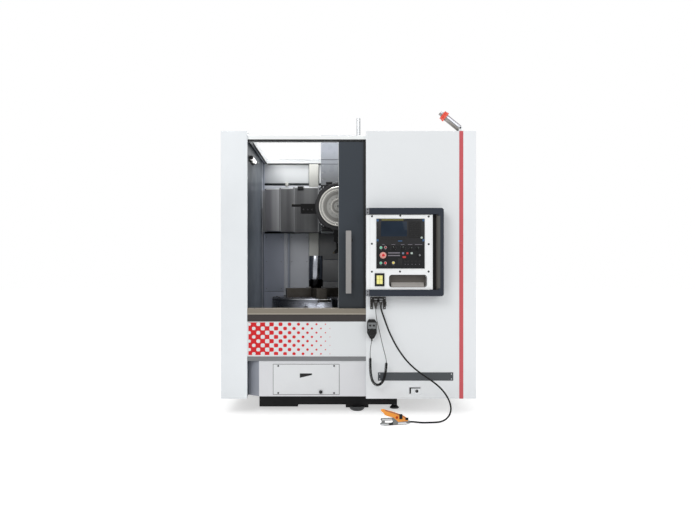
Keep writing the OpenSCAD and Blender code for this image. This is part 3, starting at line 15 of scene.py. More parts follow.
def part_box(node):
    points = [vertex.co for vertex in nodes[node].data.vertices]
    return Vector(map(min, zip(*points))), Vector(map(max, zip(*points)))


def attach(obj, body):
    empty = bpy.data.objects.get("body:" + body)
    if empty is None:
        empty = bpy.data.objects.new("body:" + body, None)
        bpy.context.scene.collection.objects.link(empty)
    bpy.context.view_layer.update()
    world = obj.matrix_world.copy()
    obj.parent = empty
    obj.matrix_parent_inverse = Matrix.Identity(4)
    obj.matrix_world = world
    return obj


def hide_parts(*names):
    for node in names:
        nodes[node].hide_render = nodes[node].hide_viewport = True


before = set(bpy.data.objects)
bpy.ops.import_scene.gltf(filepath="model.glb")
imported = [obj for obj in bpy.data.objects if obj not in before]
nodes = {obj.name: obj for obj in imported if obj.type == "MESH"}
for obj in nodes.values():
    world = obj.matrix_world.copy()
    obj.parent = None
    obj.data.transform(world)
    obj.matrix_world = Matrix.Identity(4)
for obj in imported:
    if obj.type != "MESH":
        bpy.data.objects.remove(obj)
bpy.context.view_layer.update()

# %% [markdown]
# ## Measures that everything else leans on
# A workshop drawing starts from a few datum planes. Ours are the front of the covers, the chuck's
# axis and the turret's axis. Reading them from the nodes' boxes means that a changed frame moves
# the details with it, which typing the numbers again would not.

# %% Datum planes and axes
UP, FORWARD = (0, 0, 1), (0, -1, 0)
VIEW_DISTANCE = 5.0


def low(node):
    """The lowest corner of a frame node."""
    return Vector(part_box(node)[0])


def high(node):
    """The highest corner of a frame node."""
    return Vector(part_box(node)[1])


def middle(node):
    """The middle of a frame node's box."""
    return (low(node) + high(node)) / 2


front = low("left_front_cover").y
chuck_axis = Vector((middle("chuck_body").x, middle("chuck_body").y, high("chuck_body").z))
turret_at = Vector((middle("turret_disc").x, low("turret_disc").y, middle("turret_disc").z))
print("front plane at y =", round(front, 3), "chuck face at z =", round(chuck_axis.z, 3))

# %% [markdown]
# ## The camera
# A machine in a catalogue is drawn from straight in front with its uprights kept upright. A
# tilted camera would make them lean, so this one stays level and uses lens shift to frame the
# machine, as an architect's camera does.

# %% Camera
camera = bpy.data.objects.new("camera", bpy.data.cameras.new("camera"))
bpy.context.scene.collection.objects.link(camera)
camera.location = (-0.089, front - VIEW_DISTANCE, 1.233)
camera.rotation_euler = (radians(90), 0, 0)
camera.data.sensor_width = 36
camera.data.lens = 30.5
camera.data.shift_x = 0.0137
camera.data.shift_y = 0.023
bpy.context.scene.camera = camera
print("camera", round(camera.data.lens, 1), "mm, level")

# %% [markdown]
# ## Helpers for joining and shaping
# A mesh can be made by hand in edit mode, or written with `bmesh`, which keeps it repeatable.
# Three small makers cover most of a machine: a slab with broken edges, a turned profile, and an
# outline given thickness. Each adds its faces to a shared `bmesh`, so that several can be merged
# into one piece with several finishes.

# %% Makers of shapes


def finished(bm, faces, edge, index, steps=2, edges=None):
    """Gives new faces their finish, and breaks their edges by a small round if edge isn't zero."""
    for f in faces:
        f.material_index = index
    if edge > 0:
        edges = edges or list({e for f in faces for e in f.edges})
        out = bmesh.ops.bevel(bm, geom=edges, offset=edge, segments=steps, affect="EDGES",
                              profile=0.5)
        for f in out["faces"]:
            f.material_index = index


def slab(bm, lo, hi, edge=0.0, steps=2, index=0):
    """Adds a block between two corners, with its edges broken by a small round."""
    lo, hi = Vector(lo), Vector(hi)
    verts = bmesh.ops.create_cube(bm, size=1.0)["verts"]
    for v in verts:
        v.co = (lo + hi) / 2 + Vector([v.co[i] * (hi[i] - lo[i]) for i in range(3)])
    finished(bm, list({f for v in verts for f in v.link_faces}), edge, index, steps)


def basis(axis):
    """A rotation that stands local Z along an axis."""
    return Vector(axis).to_track_quat("Z", "Y").to_matrix()


def turned(bm, profile, centre, axis=UP, steps=32, index=0):
    """Adds a shape turned on a lathe: profile is (radius, height) pairs along the axis."""
    turn = basis(axis)
    centre = Vector(centre)
    rings = []
    for r, h in profile:
        if r < 1e-7:
            rings.append([bm.verts.new(centre + turn @ Vector((0, 0, h)))])
            continue
        ring = []
        for k in range(steps):
            a = 2 * pi * k / steps
            ring.append(bm.verts.new(centre + turn @ Vector((r * cos(a), r * sin(a), h))))
        rings.append(ring)
    for a, b in zip(rings, rings[1:]):
        for k in range(steps):
            n = (k + 1) % steps
            if len(a) == 1 and len(b) == 1:
                continue
            if len(a) == 1:
                f = bm.faces.new((a[0], b[n], b[k]))
            elif len(b) == 1:
                f = bm.faces.new((a[k], a[n], b[0]))
            else:
                f = bm.faces.new((a[k], a[n], b[n], b[k]))
            f.material_index = index
            f.smooth = True


def outline(bm, points, place, depth, index=0, edge=0.0):
    """Adds a flat outline given thickness. place turns (u, v, w) into a point, w being depth."""
    bottom = [bm.verts.new(place(u, v, 0.0)) for u, v in points]
    top = [bm.verts.new(place(u, v, depth)) for u, v in points]
    faces = [bm.faces.new(bottom), bm.faces.new(list(reversed(top)))]
    n = len(points)
    for k in range(n):
        faces.append(bm.faces.new((bottom[k], top[k], top[(k + 1) % n], bottom[(k + 1) % n])))
    finished(bm, faces, edge, index, edges=[e for f in faces[:2] for e in f.edges])


def rounded(x0, x1, z0, z1, r, steps=6):
    """The outline of a rectangle with round corners, as (u, v) pairs."""
    points = []
    for cx, cz, start in ((x1 - r, z1 - r, 0), (x0 + r, z1 - r, 90), (x0 + r, z0 + r, 180),
                          (x1 - r, z0 + r, 270)):
        for k in range(steps + 1):
            a = radians(start + 90 * k / steps)
            points.append((cx + r * cos(a), cz + r * sin(a)))
    return points


def plate(bm, place, u, v, w, edge=0.0, index=0):
    """Adds a block in a panel's own coordinates: place turns (u, v, w) into a point."""
    corners = {(i, j, k): bm.verts.new(place(u[i], v[j], w[k])) for i in (0, 1) for j in (0, 1)
               for k in (0, 1)}
    faces = []
    for axis in range(3):
        for side in (0, 1):
            ring = [(0, 0), (0, 1), (1, 1), (1, 0)]
            keys = [tuple(side if a == axis else q[a - (a > axis)] for a in range(3)) for q in ring]
            faces.append(bm.faces.new([corners[k] for k in keys]))
    bmesh.ops.recalc_face_normals(bm, faces=faces)
    finished(bm, faces, edge, index)


def spoke(angle, axis):
    """The outward and the sideways direction at an angle round an axis that runs forward or up."""
    c, s = cos(angle), sin(angle)
    if axis == UP:
        return Vector((c, s, 0)), Vector((-s, c, 0))
    return Vector((c, 0, s)), Vector((-s, 0, c))


def rib(bm, centre, angle, axis, r, wide, along, edge=0.0, index=0):
    """Adds a small block that points outwards at an angle round an axis."""
    out, side = spoke(angle, axis)
    plate(bm, lambda u, v, w: centre + out * u + side * v + Vector(axis) * w, r, wide, along, edge,
          index)


def bridge(bm, a, b, index=0):
    """Joins two closed rows of vertices by a band of faces."""
    for k in range(len(a)):
        n = (k + 1) % len(a)
        bm.faces.new((a[k], a[n], b[n], b[k])).material_index = index


def screw(bm, centre, axis, radius, index=0, steps=16):
    """Adds a button-head screw: a low dome with a six-sided socket sunk into it."""
    r, socket = radius, 0.48 * radius
    turned(bm, [(r, 0), (r, 0.25 * r), (0.86 * r, 0.5 * r), (socket, 0.62 * r)], centre, axis,
           steps, index)
    turned(bm, [(socket, 0.62 * r), (socket, 0.2 * r), (0, 0.2 * r)], centre, axis, 6, index)


made = []


def piece(name, bm, body, finishes, smooth=40):
    """Turns a bmesh into a piece: cleans it, shades it, gives it its finishes and its body."""
    bmesh.ops.remove_doubles(bm, verts=bm.verts, dist=1e-6)
    bmesh.ops.recalc_face_normals(bm, faces=bm.faces)
    mesh = bpy.data.meshes.new(name)
    bm.to_mesh(mesh)
    bm.free()
    for finish in finishes:
        mesh.materials.append(finish.material)
    if smooth:
        mesh.shade_smooth()
        mesh.set_sharp_from_angle(angle=radians(smooth))
    obj = bpy.data.objects.new(name, mesh)
    bpy.context.scene.collection.objects.link(obj)
    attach(obj, body)
    made.append(obj)
    return obj


print("makers ready")

# %% [markdown]
# ## Finishes as node materials
# A painted sheet is never one flat colour: it has a faint orange peel, and its gloss wanders a
# little. An image texture could hold that, but noise nodes scale with the real object and need
# no file. Each maker below builds one family of finish from the object's own coordinates, in
# metres, so a scale of 400 means marks about 2.5 mm apart.

# %% The families of finish


def chip(r, g, b):
    """A paint chip's screen numbers, 0 to 255, as the linear values a shader wants."""
    return tuple((c / 255 / 12.92) if c <= 10 else ((c / 255 + 0.055) / 1.055) ** 2.4
                 for c in (r, g, b))


def scaled(colour, k):
    """A colour made darker or lighter by a factor."""
    return tuple(min(1.0, c * k) for c in colour)


class Finish:
    """A node material that grows one layer at a time."""

    def __init__(self, name, colour, rough, metal=0.0, shine=0.5):
        self.material = bpy.data.materials.new(name)
        self.material.use_nodes = True
        self.tree = self.material.node_tree
        self.shader = self.tree.nodes["Principled BSDF"]
        self.shader.inputs["Base Color"].default_value = (*colour, 1)
        self.shader.inputs["Roughness"].default_value = rough
        self.shader.inputs["Metallic"].default_value = metal
        self.shader.inputs["Specular IOR Level"].default_value = shine
        self.colour = colour
        self.place = self.add("ShaderNodeTexCoord").outputs["Object"]

    def add(self, kind, **values):
        """Adds a node and sets its inputs by name."""
        node = self.tree.nodes.new(kind)
        for key, value in values.items():
            socket = node.inputs[key.replace("_", " ")]
            if hasattr(value, "is_output"):
                self.tree.links.new(value, socket)
            else:
                socket.default_value = value
        return node

    def link(self, output, node, name):
        self.tree.links.new(output, node.inputs[name])

    def stretched(self, scale, shift=(0, 0, 0)):
        """The coordinates scaled by axis, for marks that run one way."""
        node = self.add("ShaderNodeMapping", Vector=self.place)
        node.inputs["Scale"].default_value = scale
        node.inputs["Location"].default_value = shift
        return node.outputs["Vector"]

    def noise(self, scale, detail=2.0, vector=None):
        node = self.add("ShaderNodeTexNoise", Vector=vector or self.place, Scale=scale,
                        Detail=detail)
        return node.outputs["Fac"]

    def maths(self, how, a, b=0.0, c=0.0):
        node = self.tree.nodes.new("ShaderNodeMath")
        node.operation = how
        for socket, value in zip(node.inputs, (a, b, c)):
            if hasattr(value, "is_output"):
                self.tree.links.new(value, socket)
            else:
                socket.default_value = value
        return node.outputs["Value"]

    def times(self, a, b):
        return self.maths("MULTIPLY", a, b)

    def flip(self, mask):
        """1 where a mask is 0, and 0 where it is 1."""
        return self.maths("SUBTRACT", 1.0, mask)

    def at(self, axis):
        """The coordinate along an axis."""
        return self.add("ShaderNodeSeparateXYZ", Vector=self.place).outputs[axis]

    def past(self, axis, level):
        """1 where a coordinate is greater than a level, and 0 elsewhere."""
        return self.maths("GREATER_THAN", self.at(axis), level)

    def within(self, axis, first, last):
        """1 between two levels of a coordinate."""
        return self.times(self.past(axis, first), self.flip(self.past(axis, last)))

    def between(self, value, a, b, lo=0.0, hi=1.0):
        """Maps value from the range a..b to lo..hi."""
        node = self.add("ShaderNodeMapRange", Value=value)
        for key, number in (("From Min", a), ("From Max", b), ("To Min", lo), ("To Max", hi)):
            node.inputs[key].default_value = number
        return node.outputs["Result"]

    def mix(self, amount, a, b):
        """A blend of two colours; each is a colour or a node's output."""
        node = self.tree.nodes.new("ShaderNodeMix")
        node.data_type = "RGBA"
        for index, value in ((0, amount), (6, a), (7, b)):
            if hasattr(value, "is_output"):
                self.tree.links.new(value, node.inputs[index])
            elif index == 0:
                node.inputs[index].default_value = value
            else:
                node.inputs[index].default_value = (*value, 1)
        return node.outputs[2]

    def tint(self, output):
        self.link(output, self.shader, "Base Color")
        return self

    def fade(self, axis, a, b, first, last):
        """Goes from one colour to another along an axis, between the levels a and b."""
        return self.tint(self.mix(self.between(self.at(axis), a, b), first, last))

    def metal(self, mask):
        """Makes the finish metallic only where the mask is 1."""
        self.link(mask, self.shader, "Metallic")
        return self

    def gloss(self, output, lo, hi):
        self.link(self.between(output, 0.3, 0.7, lo, hi), self.shader, "Roughness")
        return self

    def relief(self, height, depth, strength=1.0):
        """Bump from a height between 0 and 1, depth being its real depth in metres."""
        node = self.add("ShaderNodeBump", Height=height, Strength=strength, Distance=depth)
        self.link(node.outputs["Normal"], self.shader, "Normal")
        return self


def paint(name, colour, rough=0.42, peel=0.00005, peel_scale=260, fade=0.05, bottom_darkening=0.0, shine=0.35):
    """Sprayed or powder-coated sheet: orange peel, wandering gloss, and a patchy darkening towards
    the bottom if its strength is given.
    """
    f = Finish(name, colour, rough, shine=shine)
    cloud = f.noise(1.7, 3.0)
    shade = f.mix(f.between(cloud, 0.35, 0.65), scaled(colour, 1 - fade), colour)
    if bottom_darkening:
        bottom_mask = f.times(f.between(f.at("Z"), 0.0, 0.5, bottom_darkening, 0.0), f.noise(9.0, 4.0))
        shade = f.mix(bottom_mask, shade, scaled(colour, 0.55))
    f.tint(shade)
    f.gloss(f.noise(5.0, 2.0), rough - 0.06, rough + 0.06)
    f.relief(f.noise(peel_scale, 1.0), peel, 0.5)
    return f


def brushed(name, colour, rough=0.3, run="X", fine=900, depth=0.00003):
    """Metal brushed one way: noise squeezed along the brushing."""
    f = Finish(name, colour, rough, 1.0)
    scale = {"X": (0.02, 1, 1), "Y": (1, 0.02, 1), "Z": (1, 1, 0.02)}[run]
    marks = f.noise(fine, 2.0, f.stretched(scale))
    broad = f.noise(2.2, 3.0)
    both = f.maths("ADD", f.times(marks, 0.6), f.times(broad, 0.4))
    f.tint(f.mix(f.between(both, 0.3, 0.7), scaled(colour, 0.82), scaled(colour, 1.1)))
    f.gloss(both, rough - 0.07, rough + 0.1)
    f.relief(marks, depth, 0.4)
    return f


def ringed(name, colour, centre, plane, rough=0.3, pitch=1500, depth=0.00004, side=None):
    """Metal faced in a lathe: fine rings round an axis. plane names the two axes across it,
    and side the axis along it, if the outside is turned too."""
    f = Finish(name, colour, rough, 1.0)
    parts = f.add("ShaderNodeSeparateXYZ", Vector=f.stretched((1, 1, 1), [-c for c in centre]))
    a, b = (parts.outputs[axis] for axis in plane)
    radius = f.maths("SQRT", f.maths("ADD", f.times(a, a), f.times(b, b)))
    if side:
        radius = f.maths("ADD", radius, parts.outputs[side])
    rings = f.tree.nodes.new("ShaderNodeTexNoise")
    rings.noise_dimensions = "1D"
    rings.inputs["Scale"].default_value = pitch
    rings.inputs["Detail"].default_value = 1.0
    f.link(radius, rings, "W")
    ring = rings.outputs["Fac"]
    f.tint(f.mix(f.between(ring, 0.3, 0.7), scaled(colour, 0.8), scaled(colour, 1.12)))
    f.gloss(f.maths("ADD", f.times(ring, 0.5), f.times(f.noise(6), 0.5)), rough - 0.08, rough + 0.1)
    f.relief(ring, depth, 0.5)
    return f


def moulded(name, colour, rough=0.45, grain=0.00004, shine=0.3):
    """Moulded plastic: a fine spark grain and slightly uneven gloss."""
    f = Finish(name, colour, rough, shine=shine)
    f.tint(f.mix(f.noise(40, 2), scaled(colour, 0.93), scaled(colour, 1.05)))
    f.gloss(f.noise(60, 2), rough - 0.05, rough + 0.06)
    f.relief(f.noise(1400, 1), grain, 0.5)
    return f


print("families of finish: paint, brushed, ringed, moulded")

# %% [markdown]
# ## Light, floor and backdrop
# Machine photographs are lit flat, by big soft lamps, so that every colour reads as painted. We
# use a bright plain sky, two large area lamps in front and a small one above.
# The backdrop turns white only for rays that the
# camera, a mirror or a window sends, which keeps the light on the machine at an honest level.
# The floor adds a white glow for those rays to its diffuse shade, so shadows stay on it.

# %% Studio
scene = bpy.context.scene
scene.view_settings.view_transform = "Standard"


def seen_directly(tree):
    """1 where the ray comes from the camera, a reflection or a clear pane."""
    path = tree.nodes.new("ShaderNodeLightPath")
    total = path.outputs["Is Camera Ray"]
    for name in ("Is Glossy Ray", "Is Transmission Ray"):
        node = tree.nodes.new("ShaderNodeMath")
        node.operation = "MAXIMUM"
        tree.links.new(total, node.inputs[0])
        tree.links.new(path.outputs[name], node.inputs[1])
        total = node.outputs["Value"]
    return total


def mixed(tree, amount, a, b, out):
    """Mixes two shaders into the output node."""
    mix = tree.nodes.new("ShaderNodeMixShader")
    tree.links.new(amount, mix.inputs["Fac"])
    tree.links.new(a, mix.inputs[1])
    tree.links.new(b, mix.inputs[2])
    tree.links.new(mix.outputs["Shader"], out.inputs["Surface"])


SKY_LEVEL = 0.66
world = bpy.data.worlds.new("studio")
scene.world = world
world.use_nodes = True
sky = world.node_tree
dim = sky.nodes["Background"]
dim.inputs["Color"].default_value = (1, 1, 1, 1)
dim.inputs["Strength"].default_value = SKY_LEVEL
white = sky.nodes.new("ShaderNodeBackground")
white.inputs["Color"].default_value = (1, 1, 1, 1)
mixed(sky, seen_directly(sky), dim.outputs["Background"], white.outputs["Background"],
      sky.nodes["World Output"])


def lamp(name, place, aim, size, watts):
    """A square soft lamp that looks from place to aim."""
    data = bpy.data.lights.new(name, "AREA")
    data.shape = "SQUARE"
    data.size = size
    data.energy = watts
    obj = bpy.data.objects.new(name, data)
    scene.collection.objects.link(obj)
    obj.location = place
    obj.rotation_euler = (Vector(aim) - Vector(place)).to_track_quat("-Z", "Y").to_euler()
    return obj


KEY_WATTS, FILL_WATTS, TOP_WATTS, TOP_SPREAD = 95, 45, 35, 70
lamp("key", (-2.4, front - 4.4, 4.4), (-0.2, front, 1.2), 2.4, KEY_WATTS)
lamp("fill", (3.6, front - 4.0, 3.0), (0.3, front, 1.0), 3.0, FILL_WATTS)
over = lamp("top", (-0.3, front + 0.7, 4.4), (-0.3, front + 0.7, 1.0), 1.4, TOP_WATTS)
over.data.spread = radians(TOP_SPREAD)

floor_mesh = bpy.data.meshes.new("floor")
floor_mesh.from_pydata([(-30, -30, 0), (30, -30, 0), (30, 30, 0), (-30, 30, 0)], [], [(0, 1, 2, 3)])
floor = bpy.data.objects.new("floor", floor_mesh)
floor.location.z = -0.0005
scene.collection.objects.link(floor)
ground = bpy.data.materials.new("floor_white")
ground.use_nodes = True
tree = ground.node_tree
plain = tree.nodes["Principled BSDF"]
plain.inputs["Base Color"].default_value = (0.8, 0.8, 0.8, 1)
plain.inputs["Roughness"].default_value = 0.9
plain.inputs["Specular IOR Level"].default_value = 0.1
glow = tree.nodes.new("ShaderNodeEmission")
glow.inputs["Strength"].default_value = 0.55
both = tree.nodes.new("ShaderNodeAddShader")
tree.links.new(plain.outputs["BSDF"], both.inputs[0])
tree.links.new(glow.outputs["Emission"], both.inputs[1])
mixed(tree, seen_directly(tree), plain.outputs["BSDF"], both.outputs["Shader"],
      tree.nodes["Material Output"])
floor_mesh.materials.append(ground)
print("studio: white backdrop, sky", SKY_LEVEL, "and three soft lamps")

# %% [markdown]
# ## The two cords
# The handwheel's cord leaves a plug under the socket bracket, hangs down, turns into a tight
# curly part that droops under its own weight, and rises into the handset. The earth cable leaves
# the other gland, swings out to the right and comes back along the floor to its clamp. Both
# routes repeat the frame's own points. A cord could be a mesh, but a curve with a round bevel
# keeps its true length and bends evenly. The curls are a helix worked out along the route.

# %% Routes, in metres behind the front covers
MPG_UPPER = [(0.23, -0.032, 0.9048), (0.23, -0.032, 0.88), (0.233, -0.038, 0.845),
             (0.24, -0.042, 0.8), (0.252, -0.045, 0.75), (0.266, -0.048, 0.69),
             (0.28, -0.051, 0.625), (0.295, -0.054, 0.565), (0.308, -0.057, 0.515),
             (0.315, -0.059, 0.482), (0.317, -0.06, 0.46)]
MPG_CURL = [(0.317, -0.06, 0.46), (0.315, -0.062, 0.429), (0.31, -0.063, 0.386),
            (0.303, -0.064, 0.345), (0.292, -0.065, 0.31), (0.274, -0.065, 0.283),
            (0.252, -0.065, 0.269), (0.228, -0.065, 0.271), (0.207, -0.065, 0.289),
            (0.194, -0.065, 0.319), (0.186, -0.064, 0.357), (0.182, -0.063, 0.403),
            (0.181, -0.061, 0.449), (0.182, -0.059, 0.5)]
MPG_LOWER = [(0.182, -0.059, 0.5), (0.181, -0.056, 0.524), (0.182, -0.051, 0.552),
             (0.186, -0.044, 0.584), (0.192, -0.034, 0.616), (0.197, -0.023, 0.64),
             (0.197, -0.0228, 0.6558)]
EARTH = [(0.272, -0.032, 0.9377), (0.272, -0.032, 0.915), (0.277, -0.034, 0.893),
         (0.288, -0.036, 0.862), (0.303, -0.038, 0.818), (0.321, -0.041, 0.767),
         (0.34, -0.045, 0.717), (0.362, -0.05, 0.668), (0.388, -0.056, 0.617),
         (0.417, -0.063, 0.567), (0.449, -0.072, 0.52), (0.483, -0.082, 0.477),
         (0.52, -0.093, 0.438), (0.558, -0.105, 0.405), (0.6, -0.119, 0.374),
         (0.642, -0.133, 0.347), (0.683, -0.148, 0.32), (0.72, -0.162, 0.293),
         (0.753, -0.176, 0.264), (0.781, -0.19, 0.231), (0.804, -0.203, 0.195),
         (0.82, -0.215, 0.157), (0.828, -0.226, 0.119), (0.823, -0.236, 0.082),
         (0.806, -0.245, 0.05), (0.779, -0.253, 0.026), (0.744, -0.259, 0.012),
         (0.704, -0.264, 0.0075), (0.664, -0.268, 0.0075), (0.624, -0.271, 0.0075),
         (0.584, -0.274, 0.0075), (0.546, -0.278, 0.012), (0.513, -0.284, 0.0175),
         (0.4844, -0.29, 0.0185)]
WIRE = 0.0052
CURL_OUTER = 0.024
EARTH_WIRE = 0.014


def placed(route):
    """A route's points in the row frame."""
    return [Vector((x, front + d, z)) for x, d, z in route]


def length_of(points):
    return sum((b - a).length for a, b in zip(points, points[1:]))


def walked(points, step):
    """The same line cut into even steps of about that length, with its two ends kept."""
    total = length_of(points)
    count = max(2, round(total / step))
    out, seg, done = [points[0].copy()], 0, 0.0
    lengths = [(b - a).length for a, b in zip(points, points[1:])]
    for k in range(1, count):
        want = total * k / count
        while done + lengths[seg] < want:
            done += lengths[seg]
            seg += 1
        out.append(points[seg].lerp(points[seg + 1], (want - done) / lengths[seg]))
    return out + [points[-1].copy()]


def smoothed(points, rounds=2):
    """Rounds a line's corners by moving each inner point towards its neighbours' middle."""
    for _ in range(rounds):
        points = [points[0]] + [(a + 2 * b + c) / 4 for a, b,
                                c in zip(points, points[1:], points[2:])] + [points[-1]]
    return points


def curled(points, outer, wire, pitch, ease=2.0):
    """A helix round a line. Its radius grows from nothing over the first and last few turns."""
    radius = (outer - wire) / 2
    line = smoothed(walked(points, pitch / 12), 40)
    u = Vector((0, 1, 0))
    total, out = len(line) - 1, []
    for k, p in enumerate(line):
        t = (line[min(k + 1, total)] - line[max(k - 1, 0)]).normalized()
        u = (u - t * u.dot(t)).normalized()
        v = t.cross(u)
        turn = 2 * pi * k / 12
        grown = min(1.0, k / 12 / ease, (total - k) / 12 / ease)
        grown = grown * grown * (3 - 2 * grown)
        out.append(p + (u * cos(turn) + v * sin(turn)) * radius * grown)
    return out


def cord_curve(name, points, wire):
    """A round cord as one open line of straight steps with a round bevel."""
    data = bpy.data.curves.new(name, "CURVE")
    data.dimensions = "3D"
    data.bevel_depth = wire / 2
    data.bevel_resolution = 3
    data.use_fill_caps = True
    spline = data.splines.new("POLY")
    spline.points.add(len(points) - 1)
    for q, p in zip(spline.points, points):
        q.co = (*p, 1)
    obj = bpy.data.objects.new(name, data)
    scene.collection.objects.link(obj)
    return obj


# %% The handwheel's cord and the earth cable
rubber = moulded("cord_rubber", chip(13, 13, 14), 0.5, 0.00002, 0.2)
PITCH = 0.0062
mpg_line = (walked(placed(MPG_UPPER), 0.012)[:-1] + curled(placed(MPG_CURL), CURL_OUTER, WIRE,
        PITCH) + walked(placed(MPG_LOWER), 0.012)[1:])
mpg_cord = cord_curve("handwheel_cord", mpg_line, WIRE)
mpg_cord.data.materials.append(rubber.material)
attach(mpg_cord, "root")
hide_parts("mpg_leads", "mpg_curl")
print("handwheel cord:", round(length_of(mpg_line), 2), "m of wire in", len(mpg_line), "points")

# %% The earth cable lies where its frame tube lies
earth_line = smoothed(walked(placed(EARTH), 0.012), 3)
earth_cable = cord_curve("earth_cable_round", earth_line, EARTH_WIRE)
earth_cable.data.bevel_resolution = 5
earth_cable.data.materials.append(rubber.material)
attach(earth_cable, "root")
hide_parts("earth_cable")
print("earth cable:", round(length_of(earth_line), 2), "m")

# %% [markdown]
# ## Finishes for the frame's own sheet metal
# The covers are powder-coated white, the door and the console's frame a fine slate grey, and the
# base black. The frame's meshes keep their shape, but a Weld and a Bevel modifier round their
# edges by a few millimetres. Real folded sheet has no sharp edges, and a round one catches the
# light as a thin line.

# %% Dress a node, and break its edges


def dress(names, finish, edge=0.0, steps=2):
    """Gives frame nodes a finish, and breaks their edges by a small round that catches light."""
    for name in names:
        obj = nodes[name]
        obj.data.materials.clear()
        obj.data.materials.append(finish.material)
        if edge:
            weld = obj.modifiers.new("weld", "WELD")
            weld.merge_threshold = 0.00001
            soft = obj.modifiers.new("broken_edge", "BEVEL")
            soft.width = edge
            soft.segments = steps
            soft.limit_method = "ANGLE"
            soft.angle_limit = radians(50)
            soft.harden_normals = True


white_coat = paint("white_coat", chip(228, 231, 233), 0.38, bottom_darkening=0.2)
white_coat.tint(white_coat.mix(white_coat.past("X", high("red_stripe").x), chip(228, 231, 233),
                               chip(235, 238, 241)))
dress(["right_front_cover"], white_coat, 0.0025)
dress(["left_front_cover"], paint("left_cover_coat", chip(229, 233, 236), 0.38, bottom_darkening=0.05), 0.0025)
dress(["top_frame"], paint("beam_coat", chip(240, 243, 243), 0.38), 0.0025)
DOOR_FADE = (0.8, 1.35)
slate_coat = paint("slate_coat", chip(50, 56, 63), 0.42, peel=0.00008, peel_scale=600, shine=0.25)
slate_coat.fade("Z", *DOOR_FADE, chip(38, 42, 45), chip(50, 56, 63))
dress(["door_panel"], slate_coat, 0.003)
frame_coat = paint("console_frame_slate", chip(38, 44, 54), 0.4, peel=0.00008, peel_scale=600,
                   shine=0.25)
dress(["pendant_frame"], frame_coat, 0.004, 3)
chamber_coat = paint("chamber_coat", chip(84, 91, 100), 0.36, fade=0.12, shine=0.3)
# Painted shade and light: the chamber's walls are painted darker towards the front and lighter
# towards the back, for the way light falls in through the open roof.
WALL_SHADE_DEPTHS = (front + 0.1, front + 0.72)
chamber_coat.fade("Y", *WALL_SHADE_DEPTHS, chip(58, 64, 71), chip(106, 113, 122))
dress(["chamber_walls"], chamber_coat)
dress(["access_cover"], paint("access_coat", chip(219, 221, 223), 0.42, bottom_darkening=0.3), 0.001)
cabinet_coat = paint("cabinet_coat", chip(206, 208, 208), 0.45)
dress(["electrical_cabinet"], cabinet_coat, 0.002)
black_coat = paint("black_coat", chip(22, 22, 24), 0.55, peel=0.00015, peel_scale=420, fade=0.25,
                   shine=0.2)
dress(["base_casting"], black_coat, 0.004)
foot_coat = paint("foot_steel_black", chip(74, 75, 77), 0.34, fade=0.2, shine=0.6)
foot_coat.metal(foot_coat.between(foot_coat.noise(30, 2), 0.3, 0.7, 0.5, 0.8))
dress(["levelling_feet"], foot_coat, 0.001)
stripe_coat = paint("stripe_red", chip(200, 84, 91), 0.3, fade=0.03)
dress(["red_stripe"], stripe_coat)
print("sheet metal dressed")

# %% [markdown]
# ## Nodes that hold two or three paints
# The sill's node also carries the dark strip and the grey strip, and the front fittings' node
# holds a painted name plate and two bare steel parts. They could be cut into more nodes, but a
# paint shop would mask them, so we mask too. A height or a depth in the object's own coordinates
# decides which finish a point gets, and the same mask sets how metallic it is.

# %% Masks by position


def banded(f, axis, levels, colours):
    """Picks a colour by position: the first up to the first level, the next past it, and so on."""
    shade = colours[0]
    for level, colour in zip(levels, colours[1:]):
        shade = f.mix(f.past(axis, level), shade, colour)
    return f.tint(shade)


dots_low, dots_high = low("dot_panel"), high("dot_panel")
sill_low, sill_high = low("door_sill"), high("door_sill")
SILL_FACE = 0.051
# Painted reflection: the sill is stainless steel, and its tan colour stands in for the floor
# reflected in it.
sill_coat = paint("sill_tan_painted_reflection", chip(131, 124, 108), 0.34, fade=0.1)
banded(sill_coat, "Z",
       [dots_low.z + 0.001, sill_high.z - SILL_FACE, sill_high.z - SILL_FACE + 0.009],
       [chip(118, 120, 122), chip(50, 45, 44), chip(161, 154, 142), chip(127, 120, 108)])
dress(["door_sill"], sill_coat, 0.0015)

RETURN_W = 0.099
# Painted shade: the narrow return at the apron's left end is painted a darker blue-grey, for the
# shade on it.
apron_shaded_return = paint("apron_with_painted_shade_return", chip(211, 212, 215), 0.42, bottom_darkening=0.3)
banded(apron_shaded_return, "X", [low("lower_apron").x + RETURN_W],
       [chip(145, 149, 158), chip(211, 212, 215)])
dress(["lower_apron"], apron_shaded_return, 0.0012)

PLATE_BOTTOM, PLATE_TOP = 0.28, 0.38
fitting_coat = brushed("fitting_steel", chip(178, 180, 183), 0.34, "X", 600)
dark_plate = fitting_coat.within("Z", PLATE_BOTTOM, PLATE_TOP)
fitting_coat.tint(fitting_coat.mix(dark_plate, chip(196, 198, 200), chip(56, 61, 66)))
fitting_coat.metal(fitting_coat.flip(dark_plate))
dress(["front_fittings"], fitting_coat, 0.0006)
print("masked finishes: sill, name plate, latch")

# %% [markdown]
# ## The printed dots
# The long panel under the sill carries a plain field of red dots that thins out to the right: a
# common halftone. Each dot could be a small disc, but printed ink has no thickness. So the dots
# are worked out in the material, as a printer's screen works them out: two crossing waves are
# multiplied, and ink lies wherever the product is above a level. A low level at the left joins the
# dots and leaves round white holes, and the level rises to the right until the last dots vanish.

